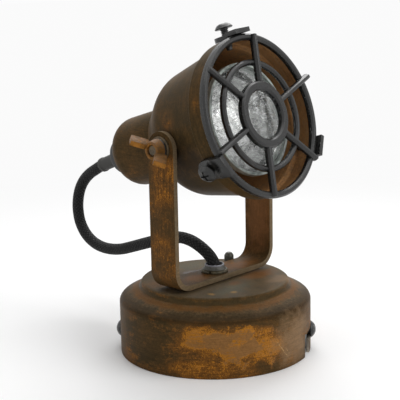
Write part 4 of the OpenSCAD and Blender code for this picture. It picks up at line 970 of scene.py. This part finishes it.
class LAMP_OT_shell(bpy.types.Operator):
    """Spun dome with its collar, the rear cup, the gland and the sleeve"""
    bl_idname = "lamp.shell"
    bl_label = "Head shell"

    def execute(self, context):
        sizes = context.scene.lamp_sizes
        edge = sizes.sheet_edge / MM
        outline = rounded([
            (35.2, 29.2, edge), (35.2, 26), (35.2, 21.9, 0.7), (33.35, 20.9, 0.9), (31.4, 10.2),
            (28.27, -7.535, 16), (17.4, -22.5, 0.8), (12.1, -22.5), (12.1, -21.5), (16.9, -21.5, 0.5),
            (27.25, -7.3, 15), (32.3, 21.2, 0.8), (34.2, 22.3, 0.8), (34.2, 26), (34.2, 29.2, edge)], 8)
        shell = set_down(turned("head_dome", outline, sizes.sides), HEAD)
        lined(shell, HEAD, FINISHES["shell"], FINISHES["lining"])
        finished(shell, "head", None, "rusted_sheet", "head_shell", angle=35)
        cup = turned("rear_cup_turned", rounded([
            (16.4, -22.52, 0.4), (16.4, -34), (16.4, -54.32, 9), (8, -54.32), (4.1, -54.32), (4.1, -53.32),
            (15.4, -53.32, 8), (15.4, -22.52)], 10), sizes.sides)
        finished(set_down(cup, HEAD), "head", FINISHES["cup"], "rusted_sheet", "rear_cup", angle=35)
        gland = turned("gland_body", rounded([
            (4.0, -54.36), (8.8, -54.36, 0.3), (8.8, -59.7, 1.0), (6.0, GLAND_BACK), (3.05, GLAND_BACK),
            (3.05, -48.4), (4.0, -48.4)]), 96)
        finished(set_down(gland, HEAD), "head", FINISHES["nylon"], "gland_plastic", "cord_gland")
        slope = (Matrix.Translation(on_axis(GLAND_BACK))
                 @ Matrix.Rotation(-math.radians(90) - SLEEVE_DROOP, 4, "X"))
        sleeve = turned("gland_sleeve_rubber", rounded([
            (3.34, 0.25, 0.2), (3.32, 8), (3.28, 13.0, 0.4), (3.62, 14.1, 0.5), (3.5, SLEEVE_LEN, 0.3),
            (3.0, SLEEVE_LEN), (3.0, 0.25)]), 64)
        finished(set_down(sleeve, slope), "head", FINISHES["rubber"], "sleeve_rubber", "gland_sleeve")
        return {"FINISHED"}


class LAMP_OT_pivots(bpy.types.Operator):
    """Wing nuts, washers, studs and spacer bosses of the tilt axis"""
    bl_idname = "lamp.pivots"
    bl_label = "Tilt pivots"

    def execute(self, context):
        for side in ("near", "far"):
            nut = softened(f"wing_nut_{side}", f"{side}_wing_nut", 0.5, 4)
            finished(nut, f"wing_{side}", FINISHES["nut"], "rusted_fastener", f"wing_nut_{side}", angle=40)
        finished(softened("pivot_washers", "flat_washers", 0.2), "head", FINISHES["washer"], "rusted_fastener",
                 "pivot_washers")
        finished(softened("spring_washers", "split_washers", 0.2), "head", FINISHES["screw"], "dark_screw",
                 "spring_washers")
        painted(FINISHES["washer"], "pivot_bolts")
        painted(FINISHES["shell"], "pivot_bosses")
        return {"FINISHED"}


# Guard

class LAMP_OT_guard(bpy.types.Operator):
    """Wire guard: three rings, six spokes, three tabs and their screws"""
    bl_idname = "lamp.guard"
    bl_label = "Guard"

    def execute(self, context):
        rings = (("outer_guard_ring", "guard_outer_ring", 34.7, 3.0, 3.0, 30.72),
                 ("middle_guard_ring", "guard_middle_ring", 23.4, 2.6, 2.6, 30.92),
                 ("inner_guard_ring", "guard_inner_ring", 12.7, 4.1, 3.4, 32.42))
        chamfer = 0.85
        for name, node, radius, wide, deep, along in rings:
            x, z = wide / 2, deep / 2
            half = [(x - chamfer, along + z, 0.3), (x, along + z - chamfer, 0.45), (x, along - z, 0.7)]
            section = rounded([(radius + a, b, c) for a, b, c in half]
                              + [(radius - a, b, c) for a, b, c in reversed(half)])
            finished(set_down(turned(name, section, 144), HEAD), "head", FINISHES["guard"], "charcoal_wire", node,
                     angle=28)
        turns = [(80.7 + 60 * i, past) for i, past in enumerate((1, 1, 1, 1, 2.2, 4.2))]
        bars = {past: self.bar(13.2, 34.7 + past) for _, past in turns[3:]}
        spokes = joined(*[copied(bars[past], HEAD @ Matrix.Rotation(math.radians(turn), 4, "Z"))
                          for turn, past in turns])
        for bar in bars.values():
            bpy.data.objects.remove(bar)
        spokes.name = "guard_bars"
        finished(spokes, "head", FINISHES["guard"], "charcoal_wire", "guard_spokes", angle=28)
        finished(softened("guard_tabs", "guard_lugs", 0.4, 3), "head", FINISHES["tab"], "charcoal_wire",
                 "guard_tabs")
        screw = self.screw(context.scene.lamp_sizes.thread_pitch / MM)
        seat, along = 37.22, 24.2
        screws = [copied(screw, HEAD @ Matrix.Rotation(math.radians(turn), 4, "Z")
                         @ Matrix.Rotation(math.radians(90), 4, "Y")
                         @ Matrix.Translation(Vector((-along, 0, seat + proud)) * MM))
                  for turn, proud in ((94, 3.2), (-29, 1.4), (-151, 2.2))]
        bpy.data.objects.remove(screw)
        finished(joined(*screws), "head", FINISHES["screw"], "dark_screw", "guard_screws")
        return {"FINISHED"}

    @staticmethod
    def bar(inner, outer):
        """Spoke along X with a narrower front face."""
        wide, deep, along, narrow = 2.8, 2.8, 32.42, 0.46
        rest()
        bpy.ops.mesh.primitive_cube_add(size=1, location=((inner + outer) / 2 * MM, 0, along * MM))
        obj = bpy.context.object
        obj.name = "guard_bars"
        obj.scale = ((outer - inner) * MM, wide * MM, deep * MM)
        set_down(obj)
        take(obj, "EDIT")
        bpy.ops.mesh.subdivide(number_cuts=1)
        bpy.ops.mesh.select_all(action="DESELECT")
        bpy.ops.object.mode_set(mode="OBJECT")
        for vert in obj.data.vertices:
            vert.select = vert.co.z > (along + deep * 0.4) * MM
        bpy.ops.object.mode_set(mode="EDIT")
        bpy.ops.transform.resize(value=(1, narrow, 1), center_override=(0, 0, along * MM))
        bpy.ops.object.mode_set(mode="OBJECT")
        return bevelled(obj, 0.32, 3, 25)

    @staticmethod
    def screw(pitch):
        """Pan-head screw with a cross recess and a thread, its head's underside at 0."""
        crest, root, end = 1.78, 1.42, 9.2
        thread = []
        for i in range(int((end - 0.3) / pitch)):
            z = -0.3 - pitch * i
            thread += [(crest, z), (crest, z - pitch * 0.25), (root, z - pitch * 0.55), (root, z - pitch * 0.75)]
        screw = turned("guard_pan_screws", [(0, 2.4), (1.6, 2.3), (2.7, 1.9), (3.4, 1.25), (3.75, 0.75), (4.0, 0.55),
                       (4.0, 0.25), (3.8, 0), (crest, 0)] + thread + [(1.1, -end - 0.3), (0, -end - 0.3)], 48,
                       loop=False)
        for across in ((4.4, 0.95), (0.95, 4.4)):
            rest()
            bpy.ops.mesh.primitive_cube_add(size=1, location=(0, 0, 2.4 * MM))
            cutter = bpy.context.object
            cutter.scale = (across[0] * MM, across[1] * MM, 2.6 * MM)
            set_down(cutter)
            modified(screw, "BOOLEAN", operation="DIFFERENCE", object=cutter, solver="EXACT")
            bpy.data.objects.remove(cutter)
        return screw


# Bulb

class LAMP_OT_bulb(bpy.types.Operator):
    """Reflector bulb: facetted reflector, glass rim, front glass, capsule"""
    bl_idname = "lamp.bulb"
    bl_label = "Bulb"

    def execute(self, context):
        sizes = context.scene.lamp_sizes
        front, rim_r, glass, rows = 24.4, 25.0, 1.3, 24
        bowl_l, neck_l, bowl_r, neck_r = front - 3.4, front - 33, rim_r - 0.8, 9.6
        k = (bowl_r ** 2 - neck_r ** 2) / (bowl_l - neck_l)
        bowl = [(math.sqrt(neck_r ** 2 + k * (along - neck_l)), along)
                for along in (bowl_l + (neck_l - bowl_l) * i / rows for i in range(rows + 1))]
        lip = [(rim_r - glass - 0.15, front - 1.9), (rim_r - glass - 0.2, bowl_l + 0.2)]
        inside = turned("reflector_facets", lip + [(r - glass - 0.1, along + 0.3) for r, along in bowl[1:]],
                        sizes.facets, loop=False)
        take(inside, "EDIT")
        bpy.ops.mesh.flip_normals()
        bpy.ops.transform.vertex_random(offset=0.13 * MM, uniform=1.0, seed=4)
        bpy.ops.object.mode_set(mode="OBJECT")
        chance = inside.data.attributes.new("facet", "FLOAT", "FACE")
        chance.data.foreach_set("value", np.random.default_rng(7).random(len(inside.data.polygons)))
        set_down(inside, HEAD)
        finished(inside, "head", FINISHES["silver"], "reflector", angle=1)
        outline = ([(rim_r, front, 0.35), (rim_r, front - 2.8)] + bowl
                   + [(r - glass + 0.2, along + 0.25) for r, along in bowl[::-1]]
                   + [(rim_r - glass, front - 2.1), (rim_r - glass, front, 0.35)])
        rim = set_down(turned("bulb_rim_glass", rounded(outline), 96), HEAD)
        finished(rim, "head", FINISHES["rim"], "reflector", "bulb_reflector", angle=40)
        lens_r, lens_l = rim_r - glass - 0.1, front - 2.1
        lens = turned("bulb_front_glass", rounded([
            (0, lens_l + 1.55), (14, lens_l + 1.4), (lens_r, lens_l + 1.2, 0.3), (lens_r, lens_l, 0.3), (0, lens_l)],
            loop=False), 96, loop=False)
        finished(set_down(lens, HEAD), "head", FINISHES["glass"], "clear_glass", "bulb_lens", angle=40)
        painted(FINISHES["glass"], "bulb_capsule")
        painted(FINISHES["ceramic"], "bulb_base", "lamp_holder")
        painted(FINISHES["zinc"], "bulb_pins", "holder_screws")
        return {"FINISHED"}


class LAMP_OT_inside(bpy.types.Operator):
    """Finishes of the pieces inside the base and the head"""
    bl_idname = "lamp.inside"
    bl_label = "Inner pieces"

    def execute(self, context):
        painted(FINISHES["zinc"], "mounting_bracket", "stop_nut", "block_screw", "swivel_nipple", "under_washer",
                "lock_nut")
        painted(FINISHES["screw"], "swivel_washer")
        painted(FINISHES["terminal"], "terminal_block")
        painted(FINISHES["brass"], "terminal_screws", "earth_screw")
        painted(FINISHES["wire"], "base_leads", "lamp_leads")
        painted(FINISHES["nylon"], "gland_nut")
        return {"FINISHED"}


class LAMP_PT_panel(bpy.types.Panel):
    """The spotlight's settings and the steps that build it"""
    bl_idname = "LAMP_PT_panel"
    bl_label = "Spotlight"
    bl_space_type = "VIEW_3D"
    bl_region_type = "UI"
    bl_category = "Spotlight"

    def draw(self, context):
        for step in STEPS:
            self.layout.operator(step.bl_idname)
        for group in (context.scene.lamp_sizes, context.scene.lamp_colours, context.scene.lamp_stage):
            for name in group.bl_rna.properties.keys():
                if name not in ("rna_type", "name"):
                    self.layout.prop(group, name)


STEPS = (LAMP_OT_stage, LAMP_OT_cord, LAMP_OT_canopy, LAMP_OT_yoke, LAMP_OT_shell, LAMP_OT_pivots, LAMP_OT_guard,
         LAMP_OT_bulb, LAMP_OT_inside)
GROUPS = (("lamp_colours", LampColours), ("lamp_sizes", LampSizes), ("lamp_stage", LampStage))


def register():
    for name, group in GROUPS:
        bpy.utils.register_class(group)
        setattr(bpy.types.Scene, name, PointerProperty(type=group))
    for step in STEPS:
        bpy.utils.register_class(step)
    bpy.utils.register_class(LAMP_PT_panel)


def unregister():
    bpy.utils.unregister_class(LAMP_PT_panel)
    for step in reversed(STEPS):
        bpy.utils.unregister_class(step)
    for name, group in reversed(GROUPS):
        delattr(bpy.types.Scene, name)
        bpy.utils.unregister_class(group)


def main():
    register()
    make_finishes()
    bpy.ops.lamp.stage()
    bpy.ops.lamp.cord()
    bpy.ops.lamp.canopy()
    bpy.ops.lamp.yoke()
    bpy.ops.lamp.shell()
    bpy.ops.lamp.pivots()
    bpy.ops.lamp.guard()
    bpy.ops.lamp.bulb()
    bpy.ops.lamp.inside()
    rest()


if __name__ == "__main__":
    main()
